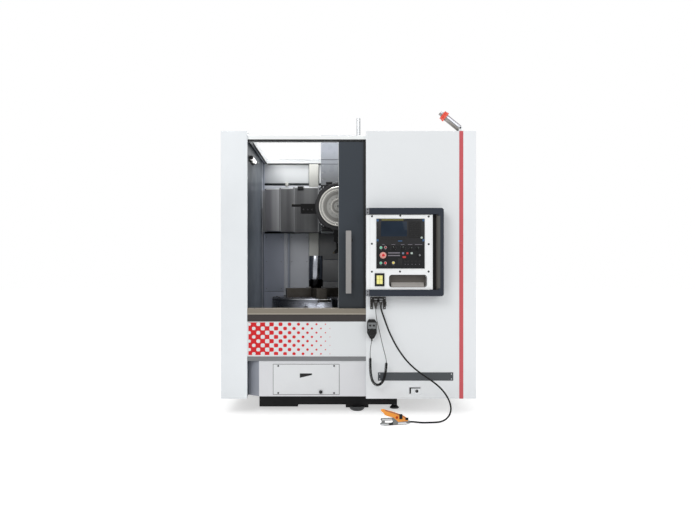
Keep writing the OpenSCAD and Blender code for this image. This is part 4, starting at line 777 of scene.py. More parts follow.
# %% Dots by formula
DOT_X, DOT_Z = 0.0381, 0.0359
DOT_REACH = 0.72
dot_coat = paint("dot_panel_white", chip(216, 219, 221), 0.36)
waves = []
for axis, start, pitch in (("X", dots_low.x + 0.055, DOT_X), ("Z", dots_high.z - 0.022, DOT_Z)):
    way = dot_coat.maths("SUBTRACT", dot_coat.at(axis), start)
    waves.append(dot_coat.maths("COSINE", dot_coat.maths("DIVIDE", way, pitch / pi)))
wave = dot_coat.times(*waves)
way = dot_coat.between(dot_coat.at("X"), dots_low.x, dots_low.x + DOT_REACH)
level = dot_coat.maths("MULTIPLY_ADD", dot_coat.maths("POWER", way, 0.85), 1.49, -0.5)
ink = dot_coat.maths("GREATER_THAN", wave, level)
for axis, first, last in (("X", dots_low.x + 0.01, dots_low.x + 0.74),
                          ("Z", dots_low.z + 0.012, dots_high.z - 0.006)):
    ink = dot_coat.times(ink, dot_coat.within(axis, first, last))
dot_coat.tint(dot_coat.mix(ink, chip(216, 219, 221), chip(198, 14, 24)))
dress(["dot_panel"], dot_coat, 0.0015)
print("dot field: lattice", 2 * DOT_X, "by", 2 * DOT_Z)

# %% [markdown]
# ## Bare and machined metal
# The chuck and the tool disc were faced in a lathe, so their marks run in rings. The covers of
# the cross slide and the chip tray are brushed sheet, whose marks run straight. Both kinds are
# noise squeezed along the direction of the tool, which costs nothing and never repeats.

# %% Slides, castings and tray


def cover_steel(name, share):
    """Brushed cover sheet with upright bands of painted reflection, painted shade that darkens it
    towards the bottom, and a share that makes a lighter or darker copy of the same steel, as
    painted light or shade.
    """
    f = brushed(name, chip(92, 93, 96), 0.4, "Z", 260)
    # Painted reflection: soft upright bands, lighter and darker, stand in for what the steel
    # reflects.
    reflection_bands = f.noise(7, 3.0, f.stretched((1, 1, 0.02)))
    banded_reflection = f.mix(f.between(reflection_bands, 0.35, 0.65), scaled(chip(74, 74, 77), share),
                  scaled(chip(110, 111, 112), share))
    # Painted shade: the sheet is painted darker towards the bottom.
    height = f.between(f.at("Z"), low("x_cover_mid").z, high("x_cover_mid").z, 0.55, 1.0)
    return f.tint(f.mix(height, (0, 0, 0), banded_reflection))


# Painted light and shade: the fixed sleeve gets a lighter copy of the same steel, and the inner
# sleeve a darker one.
dress(["x_cover_fixed"], cover_steel("cover_fixed_steel", 2.5), 0.0008)
dress(["x_cover_mid"], cover_steel("cover_mid_steel", 1.0), 0.0008)
dress(["x_cover_inner"], cover_steel("cover_inner_steel", 0.8), 0.0008)
dress(["chip_tray"], brushed("tray_steel", chip(150, 152, 154), 0.4, "X", 400), 0.001)


def casting(name, steel_axis, steel_level, steel_first):
    """A painted casting whose guide rails, past a level, are ground steel."""
    f = paint(name, chip(66, 72, 76), 0.5, peel=0.0003, peel_scale=90, fade=0.2)
    mask = f.past(steel_axis, steel_level)
    if steel_first:
        mask = f.flip(mask)
    f.tint(f.mix(mask, chip(66, 72, 76), chip(178, 180, 182)))
    return f.metal(mask)


RAIL_FACE = 1.05
SADDLE_TOP = 0.02
dress(["column_casting"], casting("column_paint", "Y", front + RAIL_FACE, True), 0.003)
dress(["spindle_housing"], paint("housing_paint", chip(66, 72, 76), 0.5, peel=0.0003,
                                 peel_scale=90), 0.003)
saddle_coat = casting("saddle_paint", "Z", high("x_cover_inner").z + SADDLE_TOP, False)
dress(["saddle"], saddle_coat, 0.0012)
ram_coat = paint("ram_grey", chip(180, 185, 194), 0.3)
ram_rails = ram_coat.maths("MAXIMUM", ram_coat.past("Y", low("ram").y + 0.151),
                           ram_coat.past("X", high("turret_housing").x + 0.0085))
# Painted shade and light: the ram is painted darker low down, inside the chamber, and lighter
# higher up, where it stands above the roof in the light.
ram_painted_shade = ram_coat.mix(ram_coat.between(ram_coat.at("Z"), 2.12, 2.4), chip(128, 131, 134),
                        chip(174, 179, 188))
ram_coat.tint(ram_coat.mix(ram_rails, ram_painted_shade, chip(178, 180, 182)))
ram_coat.metal(ram_rails)
dress(["ram"], ram_coat, 0.003)
dress(["turret_housing"], paint("turret_black", chip(20, 21, 23), 0.4, shine=0.25), 0.004)
print("slides and castings dressed")

# %% Chuck, jaws, work and turret
chuck_finish = ringed("chuck_steel", chip(88, 90, 96), chuck_axis, "XY", 0.26, depth=0.00002,
                      side="Z")
dress(["chuck_body"], chuck_finish, 0.004)
jaw_finish = paint("jaw_black_oxide", chip(50, 46, 41), 0.32, peel=0.00006, peel_scale=900,
                   shine=0.5)
jaw_finish.metal(jaw_finish.between(jaw_finish.noise(14, 3), 0.3, 0.7, 0.35, 0.75))
dress(["jaw_1", "jaw_2", "jaw_3", "jaw_4"], jaw_finish, 0.003)
COLLAR_TOP = 0.165
work_finish = brushed("work_steel", chip(184, 187, 193), 0.2, "X", 1500, 0.0000015)
collar = work_finish.flip(work_finish.past("Z", chuck_axis.z + COLLAR_TOP))
work_finish.tint(work_finish.mix(collar, chip(143, 146, 153), chip(16, 16, 17)))
dress(["workpiece"], work_finish, 0.001)
disc_finish = ringed("disc_steel", chip(140, 140, 138), turret_at, "XZ", 0.36, 900)
behind_face = disc_finish.past("Y", turret_at.y + 0.0315)
disc_finish.tint(disc_finish.mix(behind_face, chip(146, 146, 143), chip(38, 38, 40)))
dress(["turret_disc"], disc_finish, 0.002)
dress(["turning_tools"], paint("tool_black", chip(9, 9, 10), 0.42, peel=0.00006, peel_scale=700,
                               shine=0.12), 0.002)
dress(["door_handle"], brushed("handle_aluminium", chip(143, 141, 140), 0.38, "Z", 700), 0.004, 3)
bracket_coat = paint("bracket_dark", chip(52, 50, 48), 0.4)
bracket_low, bracket_high = low("socket_bracket"), high("socket_bracket")
BRACKET_LEG, BRACKET_HEAD = 0.024, 0.046
window = bracket_coat.within("X", bracket_low.x + BRACKET_LEG, bracket_high.x - BRACKET_LEG)
window = bracket_coat.times(window, bracket_coat.past("Y", front - 0.0045))
window = bracket_coat.times(window,
                            bracket_coat.flip(bracket_coat.past("Z",
        bracket_high.z - BRACKET_HEAD)))
bracket_coat.tint(bracket_coat.mix(window, chip(50, 48, 46), chip(206, 209, 211)))
dress(["socket_bracket"], bracket_coat, 0.0006)
print("chuck, work, turret and handle dressed")

# %% [markdown]
# ## Plastics, glass and small parts
# Knobs and buttons are moulded, so they get a faint spark grain. The door's window is laminated
# glass: smooth, slightly tinted and clear to light. The signal lamp's node holds a steel tube, a
# red lens and a grey cap on one tilted axis, so its mask measures the way along that axis.

# %% Glass and plastics
pane = Finish("window_pane", (0.82, 0.88, 0.9), 0.05)
pane.shader.inputs["Transmission Weight"].default_value = 0.9
pane.relief(pane.noise(3, 1), 0.0002, 0.2)
dress(["door_window"], pane, 0.001)
dress(["pendant_box"], paint("console_white", chip(243, 245, 246), 0.36), 0.003)
dress(["console_panel"], moulded("panel_black", chip(22, 23, 25), 0.42, shine=0.2), 0.0008)
knob_black = moulded("knob_black", chip(14, 14, 15), 0.4, shine=0.25)
dress(["feed_knob", "speed_knob", "mode_knob", "rapid_knob", "lock_knob", "mpg_body", "mpg_dial",
       "mpg_axis_knob", "mpg_step_knob"], knob_black, 0.0008)
button_red = moulded("button_red", chip(206, 36, 42), 0.28)
button_green = moulded("button_green", chip(96, 200, 160), 0.28)
button_yellow = moulded("button_yellow", chip(228, 206, 90), 0.28)
button_dim = moulded("button_dim_red", chip(146, 52, 54), 0.28)
dress(["estop_button", "hold_button"], button_red, 0.0008)
dress(["stop_button"], button_dim, 0.0008)
dress(["start_button", "cycle_button"], button_green, 0.0008)
dress(["lamp_button"], button_yellow, 0.0008)
rocker_coat = moulded("rocker_cream", chip(240, 234, 140), 0.3)
rocker_mid = middle("power_rocker")
from_middle = {axis: rocker_coat.maths("ABSOLUTE",
                                       rocker_coat.maths("SUBTRACT", rocker_coat.at(axis), at))
               for axis, at in (("X", rocker_mid.x), ("Z", rocker_mid.z))}
LENS_HALF_W, LENS_HALF_H, RIDGE_HALF = 0.0245, 0.0355, 0.0016
lens_in = rocker_coat.times(rocker_coat.maths("LESS_THAN", from_middle["X"], LENS_HALF_W),
                            rocker_coat.maths("LESS_THAN", from_middle["Z"], LENS_HALF_H))
ridges = rocker_coat.maths("LESS_THAN",
                           rocker_coat.maths("MINIMUM", from_middle["X"], from_middle["Z"]),
                           RIDGE_HALF)
lens_shade = rocker_coat.mix(ridges, chip(242, 236, 150), chip(196, 190, 96))
rocker_coat.tint(rocker_coat.mix(lens_in, chip(22, 22, 22), lens_shade))
dress(["power_rocker"], rocker_coat, 0.001)
dress(["clamp_lower"], brushed("clamp_steel", chip(112, 113, 112), 0.3, "X", 600), 0.001)
orange_coat = paint("clamp_orange", chip(244, 158, 62), 0.35, fade=0.2)
dress(["clamp_upper"], orange_coat, 0.0015)
print("small parts dressed")

# %% The signal lamp's three finishes along its tilted axis
lamp_pivot = Vector((middle("red_stripe").x - 0.003, front + 0.06, high("right_front_cover").z
                     + 0.034))
LAMP_TILT = radians(39)
lamp_way = Vector((-cos(LAMP_TILT), 0, sin(LAMP_TILT)))
TUBE_END, LENS_END = 0.1499, 0.1891
lamp_coat = Finish("signal_lamp_finish", chip(236, 84, 52), 0.25)
offset = lamp_coat.add("ShaderNodeVectorMath", Vector=lamp_coat.place)
offset.operation = "SUBTRACT"
offset.inputs[1].default_value = lamp_pivot
along = lamp_coat.tree.nodes.new("ShaderNodeVectorMath")
along.operation = "DOT_PRODUCT"
lamp_coat.link(offset.outputs["Vector"], along, 0)
along.inputs[1].default_value = lamp_way
travel = along.outputs["Value"]
lens = lamp_coat.times(lamp_coat.maths("GREATER_THAN", travel, TUBE_END),
                       lamp_coat.maths("LESS_THAN", travel, LENS_END))
across = lamp_coat.tree.nodes.new("ShaderNodeVectorMath")
across.operation = "DOT_PRODUCT"
lamp_coat.link(offset.outputs["Vector"], across, 0)
across.inputs[1].default_value = (sin(LAMP_TILT), 0, cos(LAMP_TILT))
# Painted reflection: light and dark bands across the steel tube stand in for what it reflects.
tube_painted_reflection = chip(150, 146, 142)
for rise, shade in ((-0.008, chip(116, 119, 124)), (-0.002, chip(222, 224, 232)),
                    (0.015, chip(140, 130, 138))):
    tube_painted_reflection = lamp_coat.mix(lamp_coat.between(across.outputs["Value"], rise - 0.002,
                                                 rise + 0.002), tube_painted_reflection, shade)
lamp_coat.tint(lamp_coat.mix(lens, tube_painted_reflection, chip(232, 92, 72)))
lamp_coat.metal(lamp_coat.times(lamp_coat.flip(lens), 0.4))
lamp_coat.relief(lamp_coat.noise(500, 1), 0.00003, 0.4)
dress(["signal_lamp"], lamp_coat, 0.001)
print("signal lamp leans", round(degrees(LAMP_TILT)), "degrees above the roof")

# %% [markdown]
# ## Inside the chamber: wall panels and the upright duct
# The chamber's back is not one sheet. Folded panels hang on it with narrow dark seams between
# them, and an upright duct hides the pipes. The seams could be painted lines, but a gap between
# two thick panels darkens by itself from every side, so each panel is its own folded slab.

# %% Chamber datums and finishes
cover_low, cover_high = low("x_cover_fixed"), high("x_cover_fixed")
wall_y = front + 1.12
beam_z = low("top_frame").z
left_x = low("top_frame").x
right_x = high("x_cover_fixed").x
tray_top = high("chip_tray").z

panel_white = paint("back_panel_white", chip(240, 243, 244), 0.32)
# Painted shade: the upper back panels are painted darker towards the left corner, where shade
# falls.
panel_white.fade("X", left_x, left_x + 0.22, chip(206, 209, 212), chip(242, 245, 246))
panel_blue = paint("back_panel_blue", chip(184, 190, 205), 0.34, fade=0.12)
panel_grey = paint("back_panel_grey", chip(226, 229, 236), 0.34, fade=0.18)
panel_dark = paint("back_panel_dark", chip(104, 105, 106), 0.4, fade=0.1)
duct_grey = paint("duct_grey", chip(212, 212, 206), 0.4, fade=0.05)
seal_black = moulded("seal_black", chip(14, 14, 15), 0.6)
steel_bright = brushed("steel_bright", chip(196, 198, 200), 0.3, "X", 900)
# Painted light: this bright finish marks the lit strip under the left rail of the roof frame.
underside_light_strip = brushed("rail_underside_painted_light", chip(200, 202, 204), 0.34, "Z", 900)
edge_alu = brushed("door_edge_aluminium", chip(150, 152, 150), 0.36, "Z", 900)
screw_dark = moulded("screw_black_oxide", chip(34, 34, 36), 0.35)
print("chamber back wall at y =", round(wall_y, 3))

# %% Back panels
PANEL_T = 0.012
SEAM = 0.004
lower_top = cover_low.z - 0.008
upper_low = cover_high.z + 0.087
seam_x = left_x + 0.272
duct_x0, duct_x1 = left_x + 0.469, left_x + 0.573
RIGHT_SEAMS = (1.115, 1.341)
bm = bmesh.new()


def wall_panel(x0, x1, z0, z1, index):
    slab(bm, (x0 + SEAM / 2, wall_y - PANEL_T, z0 + SEAM / 2),
         (x1 - SEAM / 2, wall_y - 0.0004, z1 - SEAM / 2), 0.0025, 3, index)


wall_panel(left_x + 0.004, duct_x0, upper_low, beam_z + 0.04, 0)
wall_panel(duct_x1, right_x - 0.004, upper_low, beam_z + 0.04, 0)
wall_panel(left_x + 0.004, seam_x, tray_top + 0.27, lower_top, 1)
wall_panel(left_x + 0.004, seam_x, tray_top + 0.01, tray_top + 0.27, 1)
wall_panel(seam_x, duct_x0, tray_top + 0.01, lower_top, 2)
for z0, z1 in zip((tray_top + 0.01, *RIGHT_SEAMS), (*RIGHT_SEAMS, lower_top)):
    wall_panel(duct_x1, right_x - 0.004, z0, z1, 3)
piece("back_wall_panels", bm, "root",
      [panel_white, panel_blue, panel_grey, panel_dark])
print("back panels: lower up to", round(lower_top, 3), "upper from", round(upper_low, 3))

# %% Fold beside the seam, upright duct, corner trims and hanging lips
bm = bmesh.new()
FOLD_W = 0.04
slab(bm, (seam_x - 0.022 - FOLD_W, wall_y - 0.022, tray_top + 0.01),
     (seam_x - 0.022, wall_y - PANEL_T, lower_top), 0.006, 3)
for z0, z1 in ((tray_top + 0.01, lower_top), (cover_high.z + 0.045, beam_z - 0.0085)):
    slab(bm, (duct_x0 + 0.003, wall_y - 0.034, z0), (duct_x1 - 0.003, wall_y - 0.0004, z1), 0.004,
         3, 1)
slab(bm, (left_x + 0.001, wall_y - 0.03, tray_top + 0.01), (left_x + 0.01, wall_y - 0.002, beam_z),
     0.002, 2, 2)
slab(bm, (left_x + 0.004, wall_y - 0.014, cover_high.z + 0.066),
     (right_x - 0.004, wall_y - 0.0004, cover_high.z + 0.079), 0.002, 2, 3)
slab(bm, (left_x + 0.004, wall_y - 0.012, cover_high.z + 0.03),
     (right_x - 0.004, wall_y - 0.0004, cover_high.z + 0.0655), 0.002)
TAB_X = left_x + 0.226
slab(bm, (TAB_X, wall_y - 0.02, cover_high.z + 0.055),
     (TAB_X + 0.03, wall_y - 0.014, upper_low + 0.012), 0.002, 2, 1)
TRIM_D = 0.985
slab(bm, (left_x, front + TRIM_D, tray_top),
     (left_x + 0.003, front + TRIM_D + 0.022, cover_high.z + 0.32), 0.0008)
piece("chamber_duct_and_trims", bm, "root",
      [panel_grey, duct_grey, panel_blue, seal_black])
print("duct from x =", round(duct_x0, 3), "to", round(duct_x1, 3))

# %% Panel screws
bm = bmesh.new()
for x in (left_x + 0.03, seam_x - 0.09, seam_x + 0.02, duct_x0 - 0.02):
    for z in (tray_top + 0.3, tray_top + 0.58, lower_top - 0.04):
        screw(bm, (x, wall_y - PANEL_T, z), FORWARD, 0.004)
for x in (duct_x1 + 0.03, duct_x1 + 0.22, duct_x1 + 0.41, duct_x1 + 0.6, right_x - 0.03):
    for z in (RIGHT_SEAMS[0] - 0.03, RIGHT_SEAMS[0] + 0.03, RIGHT_SEAMS[1] + 0.03,
              lower_top - 0.04):
        screw(bm, (x, wall_y - PANEL_T, z), FORWARD, 0.004)
piece("chamber_screws", bm, "root", [panel_dark])
print("panel screws in")

# %% [markdown]
# ## The work lamp and the seals of the roof frame
# A sealed tube lamp hangs on two clips high on the left wall, over the chuck. Its lens is milky
# plastic that glows white. Rubber strips close the underside of the roof frame against coolant.
# A single bright box would do from afar, but the clips and end caps give the lamp its scale.

# %% Work lamp
LAMP_R = 0.0165
lamp_x = left_x + 0.022
lamp_z = 2.205
bm = bmesh.new()
LAMP_D = 0.086
turned(bm, [(0, 0), (LAMP_R - 0.002, 0), (LAMP_R, 0.002), (LAMP_R, 0.226), (0, 0.226)],
       (lamp_x, front + LAMP_D + 0.006, lamp_z), (0, 1, 0))
for y0, long in ((LAMP_D, 0.006), (LAMP_D + 0.232, 0.024)):
    turned(bm, [(0, 0), (LAMP_R - 0.003, 0), (LAMP_R + 0.001, 0.002), (LAMP_R + 0.001, long),
                (0, long)], (lamp_x, front + y0, lamp_z), (0, 1, 0), 32, 1)
for y0 in (LAMP_D + 0.047, LAMP_D + 0.187):
    slab(bm, (left_x + 0.0004, front + y0, lamp_z - LAMP_R - 0.01),
         (lamp_x + 0.004, front + y0 + 0.016, lamp_z - LAMP_R + 0.002), 0.002, 2, 1)
slab(bm, (left_x + 0.0004, front + LAMP_D, lamp_z - 0.03),
     (left_x + 0.004, front + LAMP_D + 0.262, lamp_z + 0.02), 0.001, 2, 1)
glow_lens = moulded("lamp_lens_white", chip(245, 245, 242), 0.3)
glow_lens.shader.inputs["Emission Color"].default_value = (1, 1, 0.97, 1)
glow_lens.shader.inputs["Emission Strength"].default_value = 0.9
piece("work_lamp", bm, "root", [glow_lens, seal_black])
print("work lamp at z =", lamp_z)

# %% Rubber strips under the roof frame, and the clamps' rail along it
bm = bmesh.new()
frame_low, frame_high = low("top_frame"), high("top_frame")
slab(bm, (frame_low.x + 0.001, frame_low.y + 0.004, beam_z - 0.007),
     (low("right_front_cover").x, front + 0.029, beam_z), 0.001)
slab(bm, (frame_low.x + 0.001, frame_low.y - 0.0008, beam_z),
     (low("right_front_cover").x, frame_low.y + 0.001, beam_z + 0.0125), 0.0004, 1)
slab(bm, (frame_low.x + 0.042, frame_high.y - 0.0315, frame_high.z - 0.006),
     (right_x, frame_high.y - 0.03, frame_high.z - 0.001), 0.0004, 1, 1)
# Painted light: a bright strip under the left rail stands in for the light on its underside.
slab(bm, (frame_low.x + 0.008, front + 0.08, beam_z - 0.004),
     (frame_low.x + 0.03, wall_y - 0.032, beam_z), 0.001, 2, 2)
slab(bm, (frame_low.x + 0.002, front + 0.08, beam_z - 0.006),
     (frame_low.x + 0.008, wall_y - 0.032, beam_z), 0.001)
slab(bm, (frame_low.x + 0.042, frame_high.y - 0.031, beam_z - 0.008),
     (right_x, frame_high.y - 0.006, beam_z), 0.002)
slab(bm, (frame_low.x + 0.03, front + 0.094, beam_z - 0.008),
     (frame_low.x + 0.039, wall_y - 0.032, beam_z), 0.002)
piece("roof_seals", bm, "root", [seal_black, steel_bright, underside_light_strip])
print("roof seals at z =", round(beam_z, 3))

# %% [markdown]
# ## Telescopic covers and the ram
# Each sleeve of the cross-slide cover ends in a folded hem that wipes its neighbour, and rubber
# stop blocks hang on the top edge. The ram carries a joint strip and rows of cap screws. All of
# these ride on the same body as the sleeve or the ram, so they move with it.

# %% Hems, stops and ram trims
inner_low, inner_high = low("x_cover_inner"), high("x_cover_inner")
mid_low = low("x_cover_mid")
saddle_left = low("saddle").x
hem_grey = brushed("hem_steel", chip(118, 119, 121), 0.5, "Z", 700)
# Painted highlight: this bright finish goes on thin strips along the sleeves' top edges, for the
# light their folded hems catch.
hem_painted_highlight = brushed("hem_painted_highlight", chip(190, 192, 193), 0.45, "X", 700)
ram_low, ram_high = low("ram"), high("turret_housing")
ram_x0, ram_x1 = ram_low.x, ram_low.x + 0.35
bm = bmesh.new()
HEM = 0.0016
for x in (inner_low.x + 0.004, saddle_left - 0.016):
    slab(bm, (x, inner_low.y - HEM, inner_low.z + 0.002),
         (x + 0.012, inner_low.y, inner_high.z - 0.002), 0.0007)
slab(bm, (inner_low.x + 0.045, inner_low.y - 0.014, inner_high.z - 0.034),
     (inner_low.x + 0.105, inner_low.y, inner_high.z + 0.006), 0.003, 2, 1)
# Painted highlight along the inner sleeve's top edge.
slab(bm, (inner_low.x + 0.002, inner_low.y - 0.0012, inner_high.z - 0.012),
     (saddle_left - 0.001, inner_low.y, inner_high.z - 0.0008), 0.0005, 1, 2)
piece("cover_hems_inner", bm, "cross_slide", [hem_grey, seal_black, hem_painted_highlight])

bm = bmesh.new()
mid_high = high("x_cover_mid")
WIPED = 0.00025
slab(bm, (mid_low.x + 0.004, mid_low.y - WIPED, mid_low.z + 0.002),
     (mid_low.x + 0.016, mid_low.y, mid_high.z - 0.002), 0.0001, 1)
# Painted highlight along the middle sleeve's top edge.
slab(bm, (mid_low.x + 0.002, mid_low.y - WIPED, mid_high.z - 0.012),
     (mid_low.x + 0.26, mid_low.y, mid_high.z - 0.0008), 0.0001, 1, 1)
piece("cover_hem_middle", bm, "cross_cover", [hem_grey, hem_painted_highlight])

# Painted highlight along the fixed sleeve's top edge.
bm = bmesh.new()
slab(bm, (left_x + 0.052, cover_low.y - 0.0012, cover_high.z - 0.012),
     (left_x + 0.31, cover_low.y, cover_high.z - 0.0008), 0.0005, 1)
piece("cover_edge_fixed", bm, "root", [hem_painted_highlight])
print("hems ride on the sleeves")

# %% Ram trims: joint strip, wiper lip, cap screws and a stop block
bm = bmesh.new()
housing_top = ram_high.z
slab(bm, (ram_x0 - 0.001, ram_low.y - 0.003, housing_top + 0.01),
     (ram_x1 + 0.001, ram_low.y, housing_top + 0.03), 0.001, 2, 1)
slab(bm, (ram_x0 + 0.05, ram_low.y - 0.014, housing_top + 0.036),
     (ram_x0 + 0.11, ram_low.y, housing_top + 0.06), 0.003, 2, 1)
for z in (housing_top + 0.235, housing_top + 0.28):
    slab(bm, (ram_x0 + 0.001, ram_low.y - 0.0014, z), (ram_x1 - 0.001, ram_low.y, z + 0.003),
         0.0005, 1, 2)
for k in range(7):
    for x in (ram_x0 + 0.018, ram_x1 - 0.018):
        z = housing_top + 0.08 + 0.07 * k
        if z < high("ram").z - 0.02:
            screw(bm, (x, ram_low.y, z), FORWARD, 0.004)
piece("ram_trims", bm, "ram_slide", [steel_bright, seal_black, screw_dark])
print("ram trims done")

# %% [markdown]
# ## The tool disc's machined face
# A turret's disc shows turned steps: a bright rim, a grey face with grooves, a hub with a ring of
# screws, and a bolt circle for each station. Turned profiles give the steps and a loop gives the
# screws. Numbers from one to eight could be engraved, but they face away at rest, so they stay off.

# %% Rings, bolts and the hub cap
face_bright = ringed("face_bright", chip(206, 204, 198), turret_at, "XZ", 0.24, 1200)
face_grey = ringed("face_grey", chip(118, 117, 114), turret_at, "XZ", 0.34, 1200)
disc_front = front + 0.525
face_y = front + 0.505
hub_y = turret_at.y
bm = bmesh.new()


def face_ring(r0, r1, y, rise, index):
    """A flat ring with chamfered edges on the disc's face."""
    c = min(0.0012, rise / 2)
    turned(bm, [(r0, 0), (r0, rise - c), (r0 + c, rise), (r1 - c, rise), (r1, rise - c), (r1, 0)],
           (turret_at.x, y, turret_at.z), FORWARD, 96, index)


face_ring(0.174, 0.184, face_y, 0.004, 0)
face_ring(0.152, 0.16, face_y, 0.0012, 0)
face_ring(0.113, 0.141, face_y, 0.0022, 1)
face_ring(0.068, 0.074, face_y, 0.002, 0)
face_ring(0.044, 0.06, hub_y, 0.002, 1)
face_ring(0.192, 0.219, disc_front, 0.002, 2)
for k in range(12):
    a = 2 * pi * (k + 0.5) / 12
    screw(bm, (turret_at.x + 0.088 * cos(a), face_y, turret_at.z + 0.088 * sin(a)), FORWARD, 0.005,
          1)
for k in range(6):
    a = 2 * pi * k / 6
    screw(bm, (turret_at.x + 0.03 * cos(a), hub_y, turret_at.z + 0.03 * sin(a)), FORWARD, 0.005, 1)
turned(bm, [(0.014, 0), (0.014, 0.006), (0.01, 0.009), (0, 0.009)],
       (turret_at.x, hub_y, turret_at.z), FORWARD, 32, 3)
piece("turret_face_rings", bm, "turret",
      [face_bright, face_grey, screw_dark, screw_dark])
print("tool face: rings and 18 screws")

# %% Seats on the free stations round the rim, with their clamping screws and coolant nozzles
STATIONS = 8
disc_r = high("turret_disc").x - turret_at.x
disc_mid = front + 0.575
bm = bmesh.new()
for k in range(STATIONS):
    a = 2 * pi * k / STATIONS
    out, side = spoke(a, FORWARD)
    centre = Vector((turret_at.x, disc_mid, turret_at.z)) + out * (disc_r - 0.002)
    taken = out.x < -0.9 or out.z < -0.9
    if taken:
        continue
    plate(bm, lambda u, v, w, c=centre, o=out, s=side: c + s * u + Vector((0, v, 0)) + o * w,
          (-0.036, 0.036), (-0.04, 0.04), (-0.004, 0.008), 0.002)
    for u in (-0.024, 0.024):
        for v in (-0.028, 0.028):
            screw(bm, centre + side * u + Vector((0, v, 0)) + out * 0.008, out, 0.006, 1)
    turned(bm, [(0.013, 0), (0.013, 0.004), (0.009, 0.007), (0, 0.007)], centre + out * 0.008, out,
           24, 2)
piece("turret_station_seats", bm, "turret",
      [screw_dark, steel_bright, steel_bright])
print(STATIONS - 2, "free stations")

# %% Tool holder details: clamping wedges, screws and carbide inserts
tools_low = low("turning_tools")
TOOL_FRONT = front + 0.52
carbide = brushed("carbide_grey", chip(74, 70, 58), 0.3, "X", 800)
bm = bmesh.new()
holder_top = turret_at.z + 0.026
for k in range(3):
    screw(bm, (turret_at.x - 0.33 + 0.04 * k, front + 0.545, holder_top), UP, 0.008)
    screw(bm, (turret_at.x - 0.33 + 0.04 * k, TOOL_FRONT, turret_at.z - 0.03), FORWARD, 0.007)
slab(bm, (tools_low.x + 0.0006, front + 0.549, turret_at.z + 0.0242),
     (tools_low.x + 0.016, front + 0.565, turret_at.z + 0.029), 0.001, 2, 1)
turned(bm, [(0.03, 0), (0.03, 0.01), (0.026, 0.014), (0.0222, 0.014)],
       (turret_at.x, front + 0.56, turret_at.z - 0.329), (0, 0, -1))
slab(bm, (turret_at.x - 0.0545, front + 0.5455, tools_low.z + 0.003),
     (turret_at.x - 0.04, front + 0.5458, tools_low.z + 0.016), index=1)
piece("tool_clamps_and_inserts", bm, "turret", [screw_dark, carbide])
print("tool holders fitted with screws and inserts")

# %% [markdown]
# ## Chuck and jaws
# Four hardened top jaws sit on slides in the chuck's slots, each held by two cap screws in deep
# counterbores. Grip serrations and the screws tell the eye how big a jaw is. Each set rides on
# its own jaw's body, because the jaws open apart.

# %% Jaw screws and grip lines
JAW_ANGLE = 12.6
JAW_TOP = 0.084
JAW_W = 0.092
JAW_R0, JAW_R1 = 0.05, 0.282
for i in range(4):
    a = radians(JAW_ANGLE + 90 * i)
    out, side = spoke(a, UP)
    bm = bmesh.new()
    for share in (0.45, 0.85):
        at = chuck_axis + out * (JAW_R0 + (JAW_R1 - JAW_R0) * share) + Vector((0, 0,
                JAW_TOP - 0.0215))
        turned(bm, [(0.0115, 0), (0.0115, 0.013), (0.0105, 0.014), (0.006, 0.014)], at, UP, 24)
        turned(bm, [(0.006, 0.014), (0.006, 0.006), (0, 0.006)], at, UP, 6)
    for s in (-1, 1):
        for k in range(5):
            plate(bm, lambda u, v, w: chuck_axis + out * u + side * v + Vector((0, 0, w)),
                  (JAW_R0 + 0.03 + 0.014 * k, JAW_R0 + 0.036 + 0.014 * k),
                  tuple(sorted((s * (JAW_W / 2 + 0.0008), s * JAW_W / 2 - s * 0.001))),
                  (JAW_TOP - 0.03, JAW_TOP - 0.006), 0, 1)
    piece(f"jaw_screws_{i + 1}", bm, f"jaw_slide_{i + 1}",
          [screw_dark, jaw_finish])
print("jaw screws in four jaws")

# %% Chuck rim: bright bands as a painted highlight, and balance plugs
chuck_low, chuck_high = low("chuck_body"), high("chuck_body")
CHUCK_R = (chuck_high.x - chuck_low.x) / 2
CHUCK_H = 0.151
bm = bmesh.new()
# Painted highlight: two bright steel bands round the rim stand in for the highlight on its
# chamfered edges.
for z in (-0.006, -CHUCK_H + 0.02):
    turned(bm, [(CHUCK_R - 0.001, 0), (CHUCK_R + 0.0012, 0.001), (CHUCK_R + 0.0012, 0.003),
                (CHUCK_R - 0.001, 0.004)], chuck_axis + Vector((0, 0, z - 0.004)), UP, 128)
for i in range(8):
    out = spoke(radians(JAW_ANGLE + 22.5 + 45 * i), UP)[0]
    at = chuck_axis + out * (CHUCK_R - 0.0006) + Vector((0, 0, -CHUCK_H / 2))
    turned(bm, [(0.015, 0), (0.015, 0.0012), (0.013, 0.002), (0.007, 0.002)], at, out, 24, 1)
    turned(bm, [(0.007, 0.002), (0.007, -0.004), (0, -0.004)], at, out, 6, 1)
for r in (0.15, 0.238, 0.37):
    for i in range(12 if r > 0.2 else 8):
        a = radians(JAW_ANGLE + 15 + 30 * i) if r > 0.2 else radians(JAW_ANGLE + 45 + 90 * (i // 2)
            + (i % 2 - 0.5) * 36)
        turn = degrees(a) - JAW_ANGLE
        if r > 0.2 and abs((turn + 45) % 90 - 45) < 14:
            continue
        screw(bm, chuck_axis + Vector((r * cos(a), r * sin(a), 0)), UP, 0.008, 1)
piece("chuck_rim_and_plugs", bm, "chuck", [steel_bright, screw_dark])
print("chuck radius", round(CHUCK_R, 3))

# %% [markdown]
# ## Front trims: door seal, edge strips, door frame
# Between two painted sheets a machine has rubber, here a black seal beside the open door. The
# door's leading edge carries a thin aluminium trim. They could be dark paint, but a strip with
# its own thickness casts the fine shadow that separates the panels from afar.

